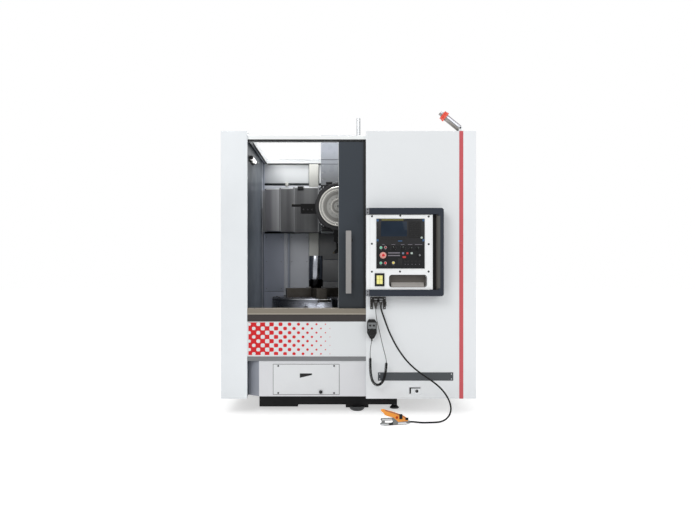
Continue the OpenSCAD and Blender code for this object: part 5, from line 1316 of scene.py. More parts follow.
# %% Strips beside the opening
right_low = low("right_front_cover")
STRIP_W = 0.0196
bm = bmesh.new()
slab(bm, (right_low.x - STRIP_W - 0.0004, front + 0.0185, sill_high.z + 0.0005),
     (right_low.x - 0.0004, front + 0.0235, beam_z - 0.008), 0.001)
piece("edge_strips", bm, "root", [seal_black])
print("strips", STRIP_W, "m wide beside the opening")

# %% The door's leading edge, window seal and handle feet
door_low, door_high = low("door_panel"), high("door_panel")
pane_low, pane_high = low("door_window"), high("door_window")
bm = bmesh.new()
slab(bm, (door_low.x - 0.0016, door_low.y + 0.002, door_low.z + 0.002),
     (door_low.x + 0.004, door_high.y - 0.002, door_high.z - 0.002), 0.001)
slab(bm, (door_low.x + 0.004, door_high.y, door_low.z + 0.02),
     (door_low.x + 0.034, door_high.y + 0.0008, door_high.z - 0.02), 0.0003, 1, 1)
piece("door_edge_trim", bm, "door", [edge_alu, seal_black])

bm = bmesh.new()
SEAL_W = 0.014
for y0, y1 in ((door_low.y - 0.003, door_low.y + 0.004),
               (door_high.y - 0.004, door_high.y + 0.003)):
    ring_out = rounded(pane_low.x - SEAL_W, pane_high.x + SEAL_W, pane_low.z - SEAL_W,
                       pane_high.z + SEAL_W, 0.044)
    ring_in = rounded(pane_low.x + 0.006, pane_high.x - 0.006, pane_low.z + 0.006,
                      pane_high.z - 0.006, 0.024)
    loops = [[bm.verts.new((x, y, z)) for x, z in ring] for ring in (ring_out, ring_in)
             for y in (y0, y1)]
    out0, out1, in0, in1 = loops
    for a, b in ((out0, out1), (out1, in1), (in1, in0), (in0, out0)):
        bridge(bm, a, b)
piece("door_window_seal", bm, "door", [seal_black])

handle_low, handle_high = low("door_handle"), high("door_handle")
bm = bmesh.new()
handle_x = (handle_low.x + handle_high.x) / 2
for z in (handle_low.z + 0.098, handle_high.z - 0.08):
    turned(bm, [(0.0136, 0), (0.022, 0.001), (0.022, 0.006), (0.0165, 0.01), (0.0165, 0.04),
                (0.0136, 0.0425)], (handle_x, door_low.y, z), FORWARD)
    slab(bm, (handle_x + 0.01, door_low.y - 0.03, z - 0.012),
         (handle_x + 0.036, door_low.y - 0.0002, z + 0.012), 0.003)
for z in (handle_low.z, handle_high.z - 0.003):
    slab(bm, (handle_low.x + 0.001, handle_low.y + 0.001, z + 0.0002),
         (handle_high.x - 0.001, handle_low.y + 0.021, z + 0.0028), 0.001)
piece("handle_feet", bm, "door", [seal_black])
print("door dressed: trim, window seal, handle feet")

# %% Sill: running rail, wear strip and end screws
bm = bmesh.new()
slab(bm, (sill_low.x + 0.004, front + 0.048, sill_high.z),
     (right_low.x - 0.003, front + 0.054, sill_high.z + 0.00025), index=1)
for k in range(7):
    screw(bm, (sill_low.x + 0.06 + 0.145 * k, front + 0.015, sill_high.z), UP, 0.0042)
for k in range(6):
    screw(bm, (sill_low.x + 0.05 + 0.18 * k, front + 0.008, sill_high.z - SILL_FACE - 0.027),
          FORWARD, 0.0032)
piece("sill_rail_and_screws", bm, "root", [screw_dark, steel_bright])
print("sill screws in")

# %% [markdown]
# ## The access cover in the apron
# A flat lift-off cover closes the coolant service hole. A dark joint runs round it, four screws
# hold its corners, a wedge-shaped finger pull is pressed into it, and a small turn-lock sits low
# on the right. The joint is a thin dark slab just behind the cover, a little larger than it.

# %% Access cover details
access_low, access_high = low("access_cover"), high("access_cover")
access_face = front + 0.011
apron_face = front + 0.014
JOINT = 0.0035
bm = bmesh.new()
slab(bm, (access_low.x - JOINT, apron_face - 0.0008, access_low.z - JOINT),
     (access_high.x + JOINT, apron_face, access_high.z + JOINT), 0, 0)
pull = [(0.225, 0.14), (0.329, 0.164), (0.329, 0.178), (0.225, 0.178)]
outline(bm, [(access_low.x + u, access_low.z + v) for u, v in pull], lambda u, v,
        w: Vector((u, access_face + 0.0019 - w, v)), 0.0015)
for u in (0.042, 0.517):
    for v in (0.012, 0.242):
        screw(bm, (access_low.x + u, access_face - 0.003, access_low.z + v), FORWARD, 0.0075)
turned(bm, [(0.0163, 0), (0.0163, 0.009), (0.0145, 0.0115), (0, 0.0115)],
       (access_low.x + 0.404, access_face - 0.0018, access_low.z + 0.021), FORWARD)
slab(bm, (access_low.x + 0.402, access_face - 0.0152, access_low.z + 0.011),
     (access_low.x + 0.406, access_face - 0.0132, access_low.z + 0.031), 0.0006, 1, 1)
piece("access_joint_and_lock", bm, "root", [seal_black, screw_dark])
print("access cover", round(access_high.x - access_low.x, 3), "m wide")

# %% Bare name plate: a raised border and four rivets, and the flush latch
plate_x0, plate_x1, plate_z0, plate_z1 = right_low.x + 0.102, right_low.x + 0.739, 0.294, 0.364
plate_y = front - 0.002
plate_grey = paint("name_plate_grey", chip(74, 80, 84), 0.4)
bm = bmesh.new()
BORDER = 0.003
for x0, x1, z0, z1 in ((plate_x0, plate_x1, plate_z1 - BORDER, plate_z1),
                       (plate_x0, plate_x1, plate_z0, plate_z0 + BORDER),
                       (plate_x0, plate_x0 + BORDER, plate_z0, plate_z1),
                       (plate_x1 - BORDER, plate_x1, plate_z0, plate_z1)):
    slab(bm, (x0 + 0.004, plate_y - 0.0008, z0 + 0.0), (x1 - 0.004, plate_y, z1), 0, 0)
for x in (plate_x0 + 0.014, plate_x1 - 0.014):
    for z in (plate_z0 + 0.014, plate_z1 - 0.014):
        turned(bm, [(0.005, 0), (0.0045, 0.0014), (0.002, 0.0024), (0, 0.0026)], (x, plate_y, z),
               FORWARD, 20, 1)
piece("name_plate_border", bm, "root", [plate_grey, steel_bright])

latch_x0, latch_x1, latch_z0, latch_z1 = right_low.x + 0.36, right_low.x + 0.468, 0.175, 0.243
bm = bmesh.new()
slab(bm, (latch_x0 + 0.0104, front - 0.0015, latch_z0 + 0.0084),
     (latch_x0 + 0.0456, front - 0.0009, latch_z0 + 0.0596), index=1)
slab(bm, (latch_x0 + 0.01, front - 0.0028, latch_z1 - 0.016),
     (latch_x1 - 0.006, front - 0.0012, latch_z1 - 0.007), 0.0004)
slab(bm, (latch_x0 + 0.008, front - 0.0036, latch_z0 + 0.008),
     (latch_x0 + 0.022, front - 0.0012, latch_z1 - 0.008), 0.001)
turned(bm, [(0.0134, 0), (0.0134, 0.002), (0.011, 0.004), (0.004, 0.0045), (0.0035, 0.001),
            (0, 0.001)], (latch_x0 + 0.071, front - 0.005, latch_z0 + 0.03), FORWARD)
piece("latch_core", bm, "root", [seal_black, white_coat])
print("name plate and latch dressed")

# %% [markdown]
# ## The operator's console
# The console is a white housing with a black panel: a screen with a keypad above, and rotary
# switches, buttons and an emergency stop below. Print on the real panel is lettering, which this
# part leaves bare, so scales are plain tick marks and labels are plain bars. Everything here is
# placed from the panel's lower left corner and rides on the swinging console.

# %% Console datums and finishes
box_low, box_high = low("pendant_box"), high("pendant_box")
panel_x, panel_z = box_low.x + 0.083, box_low.z + 0.174
panel_y = box_low.y - 0.004


def on_panel(u, v, w=0.0):
    """A place on the panel: u right and v up from its lower left corner, w out of it."""
    return Vector((panel_x + u, panel_y - w, panel_z + v))


def panel_plate(bm, u0, u1, v0, v1, w0, w1, edge=0.0, index=0):
    plate(bm, on_panel, (u0, u1), (v0, v1), (w0, w1), edge, index)


screen_blue = Finish("screen_glass", chip(22, 34, 48), 0.12, shine=0.15)
glare = screen_blue.noise(3.5, 2.0)
screen_blue.tint(screen_blue.mix(screen_blue.between(glare, 0.35, 0.65), chip(20, 32, 46),
                                 chip(30, 44, 60)))
screen_blue.gloss(screen_blue.noise(30, 2), 0.06, 0.12)
bezel_black = moulded("bezel_black", chip(36, 36, 38), 0.35, shine=0.2)
keypad_grey = moulded("keypad_grey", chip(26, 26, 26), 0.5, shine=0.2)
key_grey = moulded("key_grey", chip(34, 34, 35), 0.45, shine=0.2)
label_white = moulded("label_grey", chip(120, 116, 124), 0.5)
key_white = moulded("key_white", chip(176, 190, 182), 0.4)
key_red = moulded("key_red", chip(190, 54, 54), 0.4)
key_blue = moulded("key_blue", chip(116, 128, 148), 0.4)
olive = moulded("panel_strip_olive", chip(120, 116, 62), 0.5)
tab_blue = moulded("tab_blue", chip(56, 90, 128), 0.4)
estop_ring = moulded("estop_ring_pale", chip(232, 170, 160), 0.4)
groove_dark = moulded("panel_groove", chip(10, 10, 11), 0.5)
print("panel corner at x =", round(panel_x, 3), "z =", round(panel_z, 3))

# %% Screen, keypad, strip and corner tabs
bm = bmesh.new()
panel_plate(bm, 0.004, 0.398, 0.192, 0.411, 0.0, 0.0018, 0.0012)
panel_plate(bm, 0.03, 0.262, 0.26, 0.398, 0.0018, 0.003, 0.001, 1)
panel_plate(bm, 0.038, 0.254, 0.267, 0.391, 0.003, 0.0036, 0.0004, 2)
panel_plate(bm, 0.043, 0.226, 0.4, 0.409, 0.0018, 0.0026, 0.0006, 3)
panel_plate(bm, 0.18, 0.215, 0.225, 0.233, 0.0018, 0.0026, 0.0006, 4)
for u in (0.001, 0.383):
    for v in (0.226, 0.392):
        panel_plate(bm, u, u + 0.018, v, v + 0.018, 0.0, 0.004, 0.002, 4)
panel_plate(bm, 0.27, 0.37, 0.255, 0.39, 0.0018, 0.0024, 0.0008, 5)
KEY_COLS, KEY_ROWS = 6, 8
for i in range(KEY_COLS):
    for j in range(KEY_ROWS):
        u, v = 0.275 + 0.0155 * i, 0.26 + 0.016 * j
        panel_plate(bm, u, u + 0.0125, v, v + 0.0125, 0.0024, 0.0036, 0.0008, 6)
for i in range(8):
    panel_plate(bm, 0.04 + 0.0265 * i, 0.058 + 0.0265 * i, 0.24, 0.252, 0.0018, 0.0032, 0.0008, 6)
turned(bm, [(0.009, 0), (0.009, 0.0022), (0.007, 0.003), (0, 0.003)],
       on_panel(0.376, 0.257, 0.0018), FORWARD, 28, 7)
panel_plate(bm, 0.003, 0.399, 0.1885, 0.1915, 0.0, 0.0006, 0, 8)
piece("console_screen_and_keypad", bm, "console",
      [bezel_black, bezel_black, screen_blue, olive, tab_blue, keypad_grey, key_grey, key_white,
       groove_dark])
print(KEY_COLS * KEY_ROWS + 8, "membrane keys")

# %% Dial scales, label bars and small keys


def spot(node):
    """Where a control sits on the panel, from the panel's lower left corner."""
    return (middle(node).x - panel_x, middle(node).z - panel_z)


FEED_AT, SPEED_AT, MODE_AT = spot("feed_knob"), spot("speed_knob"), spot("mode_knob")
RAPID_AT, LOCK_AT, ESTOP_AT = spot("rapid_knob"), spot("lock_knob"), spot("estop_button")
START_AT, STOP_AT, CYCLE_AT = spot("start_button"), spot("stop_button"), spot("cycle_button")
HOLD_AT, LAMP_AT = spot("hold_button"), spot("lamp_button")


def scale_ticks(bm, at, r, count, start, end, index):
    """Tick marks round a rotary switch, every fifth one longer."""
    for k in range(count):
        a = radians(start + (end - start) * k / (count - 1))
        long = 0.0045 if k % 5 == 0 else 0.0026
        rib(bm, on_panel(*at), a, FORWARD, (r, r + long), (-0.0005, 0.0005), (0.0, 0.0005), 0,
            index)


bm = bmesh.new()
scale_ticks(bm, FEED_AT, 0.021, 21, 225, -45, 0)
scale_ticks(bm, SPEED_AT, 0.021, 16, 210, -30, 0)
scale_ticks(bm, MODE_AT, 0.015, 7, 180, 0, 0)
scale_ticks(bm, RAPID_AT, 0.015, 4, 150, 30, 0)
scale_ticks(bm, LOCK_AT, 0.0145, 2, 90, 0, 0)
for u, wide in ((0.059, 0.018), (0.141, 0.03), (0.218, 0.03), (0.281, 0.038), (0.35, 0.06)):
    panel_plate(bm, u - wide / 2, u + wide / 2, 0.1975, 0.2015, 0.0018, 0.0023)
for at in (START_AT, STOP_AT, CYCLE_AT, HOLD_AT, LAMP_AT):
    panel_plate(bm, at[0] - 0.008, at[0] + 0.008, at[1] - 0.019, at[1] - 0.017, 0.0, 0.0005)
for v in (0.1255, 0.1035):
    panel_plate(bm, 0.097, 0.197, v, v + 0.009, 0.0, 0.0006, 0.0002)
for u, index in ((0.222, 4), (0.258, 2), (0.294, 1)):
    panel_plate(bm, u - 0.009, u + 0.009, 0.119, 0.135, 0.0, 0.0034, 0.0014, index)
panel_plate(bm, 0.218, 0.246, 0.087, 0.103, 0.0, 0.0034, 0.0014, 2)
for u in (0.24, 0.264, 0.297, 0.326, 0.359):
    panel_plate(bm, u - 0.0025, u + 0.0025, 0.0325, 0.0375, 0.0, 0.0012, 0.0004)
    panel_plate(bm, u - 0.01, u + 0.01, 0.052, 0.066, 0.0, 0.003, 0.0012, 3)
panel_plate(bm, 0.18, 0.215, 0.03, 0.085, 0.0, 0.0008, 0.0003, 3)
piece("console_scales_and_keys", bm, "console",
      [label_white, key_white, key_red, key_grey, key_blue])
print("scales: feed, speed, mode, rapid, lock")

# %% Pale ring under the emergency stop, and its arrows
bm = bmesh.new()
turned(bm, [(0.0165, 0), (0.0275, 0), (0.0275, 0.0016), (0.0165, 0.0016)], on_panel(*ESTOP_AT),
       FORWARD, 48)
turned(bm, [(0.0163, 0.002), (0.0175, 0.003), (0.0175, 0.007), (0.0163, 0.0098)],
       on_panel(*ESTOP_AT), FORWARD, 40, 1)
piece("estop_ring", bm, "console", [estop_ring, seal_black])

bm = bmesh.new()
turned(bm, [(0.0202, 0.03), (0.0202, 0.0338), (0.0165, 0.0349), (0.0138, 0.0347)],
       on_panel(*ESTOP_AT), FORWARD, 40, 2)
turned(bm, [(0.0138, 0.0347), (0.004, 0.0338), (0, 0.0336)], on_panel(*ESTOP_AT), FORWARD, 40)
for k in range(3):
    a0 = radians(20 + 120 * k)
    for j in range(6):
        a, b = a0 + radians(10 * j), a0 + radians(10 * (j + 1))
        quad = [(r * cos(t), r * sin(t)) for r,
                t in ((0.0105, a), (0.0125, a), (0.0125, b), (0.0105, b))]
        outline(bm, quad, lambda u, v, w: on_panel(ESTOP_AT[0] + u, ESTOP_AT[1] + v, 0.0352 - w),
                0.0012, 1)
piece("estop_cap", bm, "estop", [button_red, key_white, estop_ring])
print("emergency stop dressed")

# %% Chrome rings round the push buttons, and a white line on each knob
bm = bmesh.new()
BUTTON_R = 0.009
for at in (START_AT, STOP_AT, CYCLE_AT, HOLD_AT, LAMP_AT):
    turned(bm, [(BUTTON_R + 0.0032, 0.0002), (BUTTON_R + 0.0036, 0.001),
                (BUTTON_R + 0.0034, 0.0034), (BUTTON_R + 0.0026, 0.0045),
                (BUTTON_R + 0.0006, 0.0045)], on_panel(*at), FORWARD, 40)
piece("button_rings", bm, "console", [steel_bright])
for name, at, r, body in (("feed_line", FEED_AT, 0.016, "feed_dial"),
                          ("speed_line", SPEED_AT, 0.016, "speed_dial"),
                          ("mode_line", MODE_AT, 0.011, "mode_switch"),
                          ("rapid_line", RAPID_AT, 0.011, "rapid_switch")):
    bm = bmesh.new()
    panel_plate(bm, at[0] - 0.0007, at[0] + 0.0007, at[1] + 0.2 * r, at[1] + 0.95 * r, 0.021,
                0.0214, 0.0001)
    for k in range(18):
        rib(bm, on_panel(*at), 2 * pi * k / 18, FORWARD, (0.7 * r, 0.745 * r),
            (-0.06 * r, 0.06 * r), (0.0065, 0.0186), 0.0002, 1)
    piece(name, bm, body, [key_white, knob_black])
print("knob lines point up")

# %% The key in the lock switch
key_steel = brushed("key_steel", chip(120, 122, 124), 0.35, "Z", 800)
bm = bmesh.new()
turned(bm, [(0.0082, 0.019), (0.0082, 0.0225), (0.0072, 0.0232), (0, 0.0232)], on_panel(*LOCK_AT),
       FORWARD, 28)
panel_plate(bm, LOCK_AT[0] - 0.0008, LOCK_AT[0] + 0.0008, LOCK_AT[1] - 0.003, LOCK_AT[1] + 0.003,
            0.0232, 0.03, 0.0002)
place_key = lambda u, v, w: on_panel(LOCK_AT[0] + w - 0.0009, LOCK_AT[1] + v, 0.03 + u)
bow = [(0.009 + 0.0085 * cos(2 * pi * k / 20), 0.0095 * sin(2 * pi * k / 20)) for k in range(20)]
outline(bm, bow, place_key, 0.0018, 0, 0.0003)
piece("lock_key", bm, "lock_switch", [key_steel])
print("lock switch holds its key")

# %% [markdown]
# ## Housing details
# Eight black screws hold the white face. A deep grab slot runs along the bottom, with a sloped
# floor, and its inside is painted darker as painted shade. The power rocker sits in a black frame.
# The left ends of the slate frame carry grey hinge blocks, and a black sheet closes the gap beside
# the housing.

# %% Face screws, slot lining, rocker marks
bm = bmesh.new()
BOX_W = box_high.x - box_low.x
FACE_SCREWS = [(0.047, 0.609), (0.283, 0.614), (0.519, 0.607), (0.046, 0.38), (0.519, 0.377),
               (0.046, 0.148), (0.28, 0.149), (0.518, 0.149)]
for u, v in FACE_SCREWS:
    at = Vector((box_low.x + u, box_low.y, box_low.z + v))
    screw(bm, at, FORWARD, 0.0062)
    turned(bm, [(0.0085, 0), (0.0085, 0.0006), (0.006, 0.0006)], at, FORWARD, 24)
face_u0, face_u1 = 0.03, BOX_W - 0.012
for u0, u1, v0, v1 in ((face_u0, face_u1, 0.0105, 0.0115), (face_u0, face_u1, 0.6195, 0.6205),
                       (face_u0, face_u0 + 0.001, 0.011, 0.62),
                       (face_u1 - 0.001, face_u1, 0.011, 0.62)):
    slab(bm, (box_low.x + u0, box_low.y - 0.0003, box_low.z + v0),
         (box_low.x + u1, box_low.y, box_low.z + v1), index=1)
joint_grey = paint("console_joint_grey", chip(150, 152, 155), 0.5)
piece("console_face_screws", bm, "console", [screw_dark, joint_grey])

slot_u0, slot_u1, slot_v0, slot_v1, slot_deep = 0.189, 0.505, 0.018, 0.122, 0.0555
# Painted shade: the slot's inside is painted dark grey and its sloped floor a lighter grey, for the
# shade inside the recess.
recess_shade_grey = moulded("slot_recess_painted_shade", chip(88, 84, 80), 0.5)
slope_grey = moulded("slot_slope_grey", chip(168, 164, 160), 0.5)
bm = bmesh.new()
place_slot = lambda u, v, w: Vector((box_low.x + u, box_low.y + w, box_low.z + v))
outline(bm, rounded(slot_u0 + 0.001, slot_u1 - 0.001, slot_v0 + 0.001, slot_v1 - 0.001, 0.023),
        lambda u, v, w: place_slot(u, v, slot_deep - w), 0.001)
slope = [(slot_deep - 0.002, slot_v0 + 0.001), (slot_deep - 0.002, slot_v0 + 0.04),
         (0.004, slot_v0 + 0.002)]
outline(bm, slope, lambda a, b, w: place_slot(slot_u0 + 0.022 + w, b, a),
        slot_u1 - slot_u0 - 0.044, 1)
ring = rounded(slot_u0, slot_u1, slot_v0, slot_v1, 0.024)
lip = [(u * 0.985 + 0.015 * (slot_u0 + slot_u1) / 2, v * 0.95 + 0.05 * (slot_v0 + slot_v1) / 2)
       for u, v in ring]
rows = [[bm.verts.new(place_slot(u, v, w)) for u, v in line] for line,
        w in ((ring, -0.0008), (lip, -0.0008), (lip, 0.006))]
for a, b in zip(rows, rows[1:]):
    bridge(bm, a, b, 2)
piece("slot_lining", bm, "console", [recess_shade_grey, slope_grey, seal_black])
print("grab slot lined, slot depth", slot_deep)

# %% Rocker marks: a bar and a ring, and the hinge blocks of the frame
rocker_low, rocker_high = low("power_rocker"), high("power_rocker")
rocker_x, rocker_z = (rocker_low.x + rocker_high.x) / 2, (rocker_low.z + rocker_high.z) / 2
mark_olive = moulded("rocker_mark", chip(120, 116, 60), 0.4)
bm = bmesh.new()
rocker_face = panel_y - 0.004
slab(bm, (rocker_x - 0.0012, rocker_face - 0.0004, rocker_z + 0.0005),
     (rocker_x + 0.0012, rocker_face + 0.0006, rocker_z + 0.0075), 0, 0)
turned(bm, [(0.003, 0), (0.0044, 0), (0.0044, 0.0004), (0.003, 0.0004)],
       (rocker_x, rocker_face, rocker_z - 0.004), FORWARD, 24)
piece("rocker_marks", bm, "rocker", [mark_olive])

hinge_grey = paint("hinge_grey", chip(128, 130, 134), 0.4)
frame_lo, frame_hi = low("pendant_frame"), high("pendant_frame")
ARM_H = 0.052
bm = bmesh.new()
for z in (frame_lo.z, frame_hi.z - ARM_H):
    slab(bm, (frame_lo.x - 0.001, frame_lo.y - 0.0012, z - 0.0006),
         (frame_lo.x + 0.026, front - 0.062, z + ARM_H + 0.0006), 0.003, 3)
    slab(bm, (frame_lo.x + 0.026, frame_lo.y - 0.0008, z + 0.002),
         (frame_lo.x + 0.03, frame_lo.y + 0.004, z + ARM_H - 0.002), 0.0008, 2, 1)
    for k in (0.013, 0.039):
        screw(bm, (frame_lo.x + 0.013, frame_lo.y - 0.0012, z + k), FORWARD, 0.005, 1)
piece("frame_hinge_blocks", bm, "root", [hinge_grey, screw_dark])

bm = bmesh.new()
GAP_CLEAR = 0.007
slab(bm, (box_high.x + GAP_CLEAR, front - 0.0615, frame_lo.z + 0.03),
     (frame_hi.x - 0.042, front - 0.059, frame_hi.z - 0.03), 0.0006, 1)
# The narrow strip beside the frame's bar takes the same painted shade grey.
slab(bm, (frame_hi.x - 0.058, front - 0.085, frame_lo.z + ARM_H),
     (frame_hi.x - 0.0435, front - 0.062, frame_hi.z - ARM_H), 0.0006, 1, 1)
piece("frame_back_sheet", bm, "root", [seal_black, recess_shade_grey])
print("frame dressed")

# %% The lit return on the frame's right bar, as painted light
# Painted light: a grey strip on the bar's front stands in for the lit inner side of the bar.
return_painted_light = paint("frame_return_painted_light", chip(74, 74, 71), 0.5)
RETURN_X0, RETURN_X1 = frame_hi.x - 0.054, frame_hi.x - 0.029
bm = bmesh.new()
slab(bm, (RETURN_X0, frame_lo.y - 0.0003, frame_lo.z + 0.066),
     (RETURN_X1, frame_lo.y + 0.004, frame_hi.z - 0.066), 0.0002)
piece("frame_return", bm, "root", [return_painted_light])
print("frame return", round(RETURN_X1 - RETURN_X0, 3), "m wide")

# %% The housing's back and side: vents and screws
bm = bmesh.new()
box_back = box_high.y
for j in range(9):
    z = box_low.z + 0.36 + 0.018 * j
    slab(bm, (box_high.x - 0.0012, box_low.y + 0.018, z),
         (box_high.x + 0.0003, box_low.y + 0.068, z + 0.007), 0, 0)
for i in range(11):
    z = box_low.z + 0.1 + 0.014 * i
    slab(bm, (box_low.x + 0.18, box_back - 0.001, z),
         (box_low.x + 0.38, box_back + 0.0003, z + 0.006), 0, 0)
for u in (0.02, BOX_W - 0.02):
    for v in (0.02, 0.31, 0.6):
        screw(bm, (box_low.x + u, box_back, box_low.z + v), (0, 1, 0), 0.005)
piece("console_vents", bm, "console", [seal_black])
print("console finished with", len(FACE_SCREWS), "face screws")

# %% [markdown]
# ## Sockets, handset and earth clamp
# Under the console hangs a small dark bracket with two round connectors: knurled steel nuts over
# black bodies. The handset is a black moulding with a grey legend plate and a ring of marks round
# its dial. The clamp is pressed from sheet, so it has rivets, a spring and teeth. A plain solid
# would be enough for its weight, but these small parts are what the eye looks for.

# %% Connector nuts and the bracket's screws
socket_x, gland_x = MPG_UPPER[0][0], EARTH[0][0]
shelf_z = bracket_low.z + 0.078
nut_steel = brushed("nut_steel", chip(176, 178, 180), 0.3, "Z", 900)
bm = bmesh.new()
for x, fall in ((socket_x, 0.02), (gland_x, 0.014)):
    for z0, r, long in ((shelf_z - fall, 0.0172, 0.01), (shelf_z + 0.006, 0.0176, 0.006)):
        turned(bm, [(r - 0.003, 0), (r, 0.001), (r, long - 0.001), (r - 0.003, long)],
               (x, front - 0.032, z0), UP)
    for k in range(16):
        rib(bm, Vector((x, front - 0.032, shelf_z - fall)), 2 * pi * k / 16, UP, (0.017, 0.0182),
            (-0.0014, 0.0014), (0.0014, 0.0086), 0.0002, 1)
for x in (bracket_low.x + 0.01, bracket_high.x - 0.01):
    for z in (bracket_low.z + 0.012, bracket_high.z - 0.012):
        screw(bm, (x, front - 0.004, z), FORWARD, 0.0045)
piece("connector_nuts", bm, "root", [nut_steel, screw_dark])
print("connectors at x =", socket_x, "and", gland_x)

# %% Handset: legend plate, dial marks, cord sleeve
mpg_low, mpg_high = low("mpg_body"), high("mpg_body")
mpg_x = (mpg_low.x + mpg_high.x) / 2
mpg_face = front - 0.045
dial_x, dial_z = middle("mpg_dial").x, middle("mpg_dial").z
dial_at = Vector((dial_x, mpg_face, dial_z))
legend_grey = moulded("legend_grey", chip(126, 129, 131), 0.45)
bm = bmesh.new()
outline(bm, rounded(mpg_x - 0.033, mpg_x + 0.033, mpg_high.z - 0.078, mpg_high.z - 0.026, 0.004),
        lambda u, v, w: Vector((u, mpg_face - w, v)), 0.0006)
DIAL_R = (high("mpg_dial").x - low("mpg_dial").x) / 2
turned(bm, [(DIAL_R + 0.0012, 0), (DIAL_R + 0.0012, 0.0008), (DIAL_R + 0.0058, 0.0008),
            (DIAL_R + 0.0058, 0)], (dial_x, mpg_face, dial_z), FORWARD, 64, 1)
for k in range(50):
    long = 0.0034 if k % 5 == 0 else 0.0018
    rib(bm, dial_at, 2 * pi * k / 50, FORWARD, (DIAL_R + 0.0018, DIAL_R + 0.0018 + long),
        (-0.0003, 0.0003), (0.0008, 0.0011))
for s in (-1, 1):
    for k in range(5):
        a = radians(-60 + 30 * k)
        centre = Vector((mpg_x + s * 0.016, 0, mpg_high.z - 0.05))
        out = Vector((sin(a), 0, cos(a)))
        at = centre + out * 0.0142
        slab(bm, (at.x - 0.0009, mpg_face - 0.001, at.z - 0.0009),
             (at.x + 0.0009, mpg_face - 0.0006, at.z + 0.0009), index=1)
for x in (mpg_x - 0.03, mpg_x + 0.03):
    screw(bm, (x, mpg_face, mpg_high.z - 0.022), FORWARD, 0.0028, 1)
    screw(bm, (x, mpg_face, dial_z - 0.006), FORWARD, 0.0028, 1)
for z in (mpg_high.z - 0.06, mpg_high.z - 0.1):
    slab(bm, (mpg_high.x - 0.002, mpg_face + 0.012, z),
         (mpg_high.x + 0.0003, mpg_face + 0.03, z + 0.026), 0.001, 2, 2)
piece("handset_legend", bm, "root", [legend_grey, bezel_black, keypad_grey])
bm = bmesh.new()
turned(bm, [(0.0085, 0.002), (0.0085, -0.004), (0.006, -0.008), (0.006, -0.02), (0.0036, -0.024)],
       (MPG_LOWER[-1][0], front - 0.0228, MPG_LOWER[-1][2]), UP, 24)
for k in range(4):
    turned(bm, [(0.006, 0), (0.0068, 0.0005), (0.0068, 0.0015), (0.006, 0.002)],
           (MPG_LOWER[-1][0], front - 0.0228, MPG_LOWER[-1][2] - 0.011 - 0.003 * k), UP, 20)
piece("handset_sleeve", bm, "root", [rubber])
bm = bmesh.new()
crank_at = Vector((dial_x + 0.6 * DIAL_R, low("mpg_dial").y, dial_z))
turned(bm, [(0.0036, -0.0002), (0.003, 0.0006), (0, 0.0008)], crank_at, FORWARD, 20)
for k in range(30):
    rib(bm, dial_at, 2 * pi * k / 30, FORWARD, (DIAL_R - 0.0006, DIAL_R + 0.0005),
        (-0.0009, 0.0009), (0.002, 0.009))
piece("handset_dial_grip", bm, "handwheel", [bezel_black])
print("handset dressed")

# %% Earth clamp: its own axes, rivets, spring, teeth and folded edges
CLAMP_TURN = radians(12)
clamp_end = Vector((0.484, front - 0.29, 0.0005))
clamp_x, clamp_y = spoke(CLAMP_TURN, UP)
PIVOT = (-0.11, 0.061)


def on_clamp(u, v, w):
    """A place on the clamp: u along it from the cable's end, v up, w out of its far side."""
    return clamp_end + clamp_x * u + clamp_y * w + Vector((0, 0, v))


rivet_brown = brushed("rivet_brown", chip(168, 62, 28), 0.4, "X", 500)
orange_dark = paint("clamp_orange_shade", chip(176, 106, 74), 0.4, fade=0.2)
spring_black = moulded("spring_black", chip(16, 16, 17), 0.4, shine=0.2)
bm = bmesh.new()
for s in (-1, 1):
    turned(bm, [(0.0105, 0), (0.0105, 0.0008), (0.0088, 0.003), (0.0045, 0.004), (0, 0.0042)],
           on_clamp(*PIVOT, s * 0.012), clamp_y * s, 28)
RIDGE = [(-0.036, 0.0535), (-0.061, 0.077), (-0.097, 0.089), (-0.129, 0.102), (-0.181, 0.118),
         (-0.208, 0.1275)]
for (u0, v0), (u1, v1) in zip(RIDGE, RIDGE[1:]):
    shift = Vector((u1 - u0, v1 - v0)).normalized()
    for s in (-1, 1):
        ring = [(u0, v0), (u1, v1), (u1 - shift.y * 0.0012, v1 - 0.0085),
                (u0 - shift.y * 0.0012, v0 - 0.0085)]
        outline(bm, ring, lambda u, v, w: on_clamp(u, v, s * (0.0118 + w)), 0.0012, 2)
for u in (-0.074, -0.024):
    plate(bm, on_clamp, (u - 0.016, u + 0.01),
          (0.046 if u < -0.05 else 0.036, 0.087 if u < -0.05 else 0.056), (-0.0136, -0.0121),
          0.0006, 1)
plate(bm, on_clamp, (-0.234, -0.214), (0.112, 0.128), (-0.013, 0.013), 0.002, 3)
piece("clamp_rivet_and_ridge", bm, "clamp_lever",
      [rivet_brown, spring_black, orange_dark, orange_coat])

bm = bmesh.new()
for s in (-1, 1):
    for u0, u1, v0, v1, index in ((-0.243, -0.176, 0.0035, 0.0165, 1),
                                  (-0.174, -0.14, 0.0035, 0.0175, 0),
                                  (-0.1, -0.016, 0.0035, 0.019, 2)):
        plate(bm, on_clamp, (u0, u1), (v0, v1), tuple(sorted((s * 0.008, s * 0.0084))), 0.0002,
              index)
    plate(bm, on_clamp, (-0.232, -0.15), (0.043, 0.055), tuple(sorted((s * 0.008, s * 0.0084))),
          0.0002, 1)
for k in range(6):
    plate(bm, on_clamp, (-0.231 + 0.006 * k, -0.228 + 0.006 * k), (0.018, 0.0215),
          (-0.0078, 0.0078))
for k in range(7):
    a, b = radians(150 - 6 * k), 0.0155
    turned(bm, [(b, -0.0006), (b + 0.0014, 0), (b, 0.0006), (b - 0.0014, 0), (b, -0.0006)],
           on_clamp(PIVOT[0], PIVOT[1], -0.0066 + 0.0022 * k), clamp_y, 28)
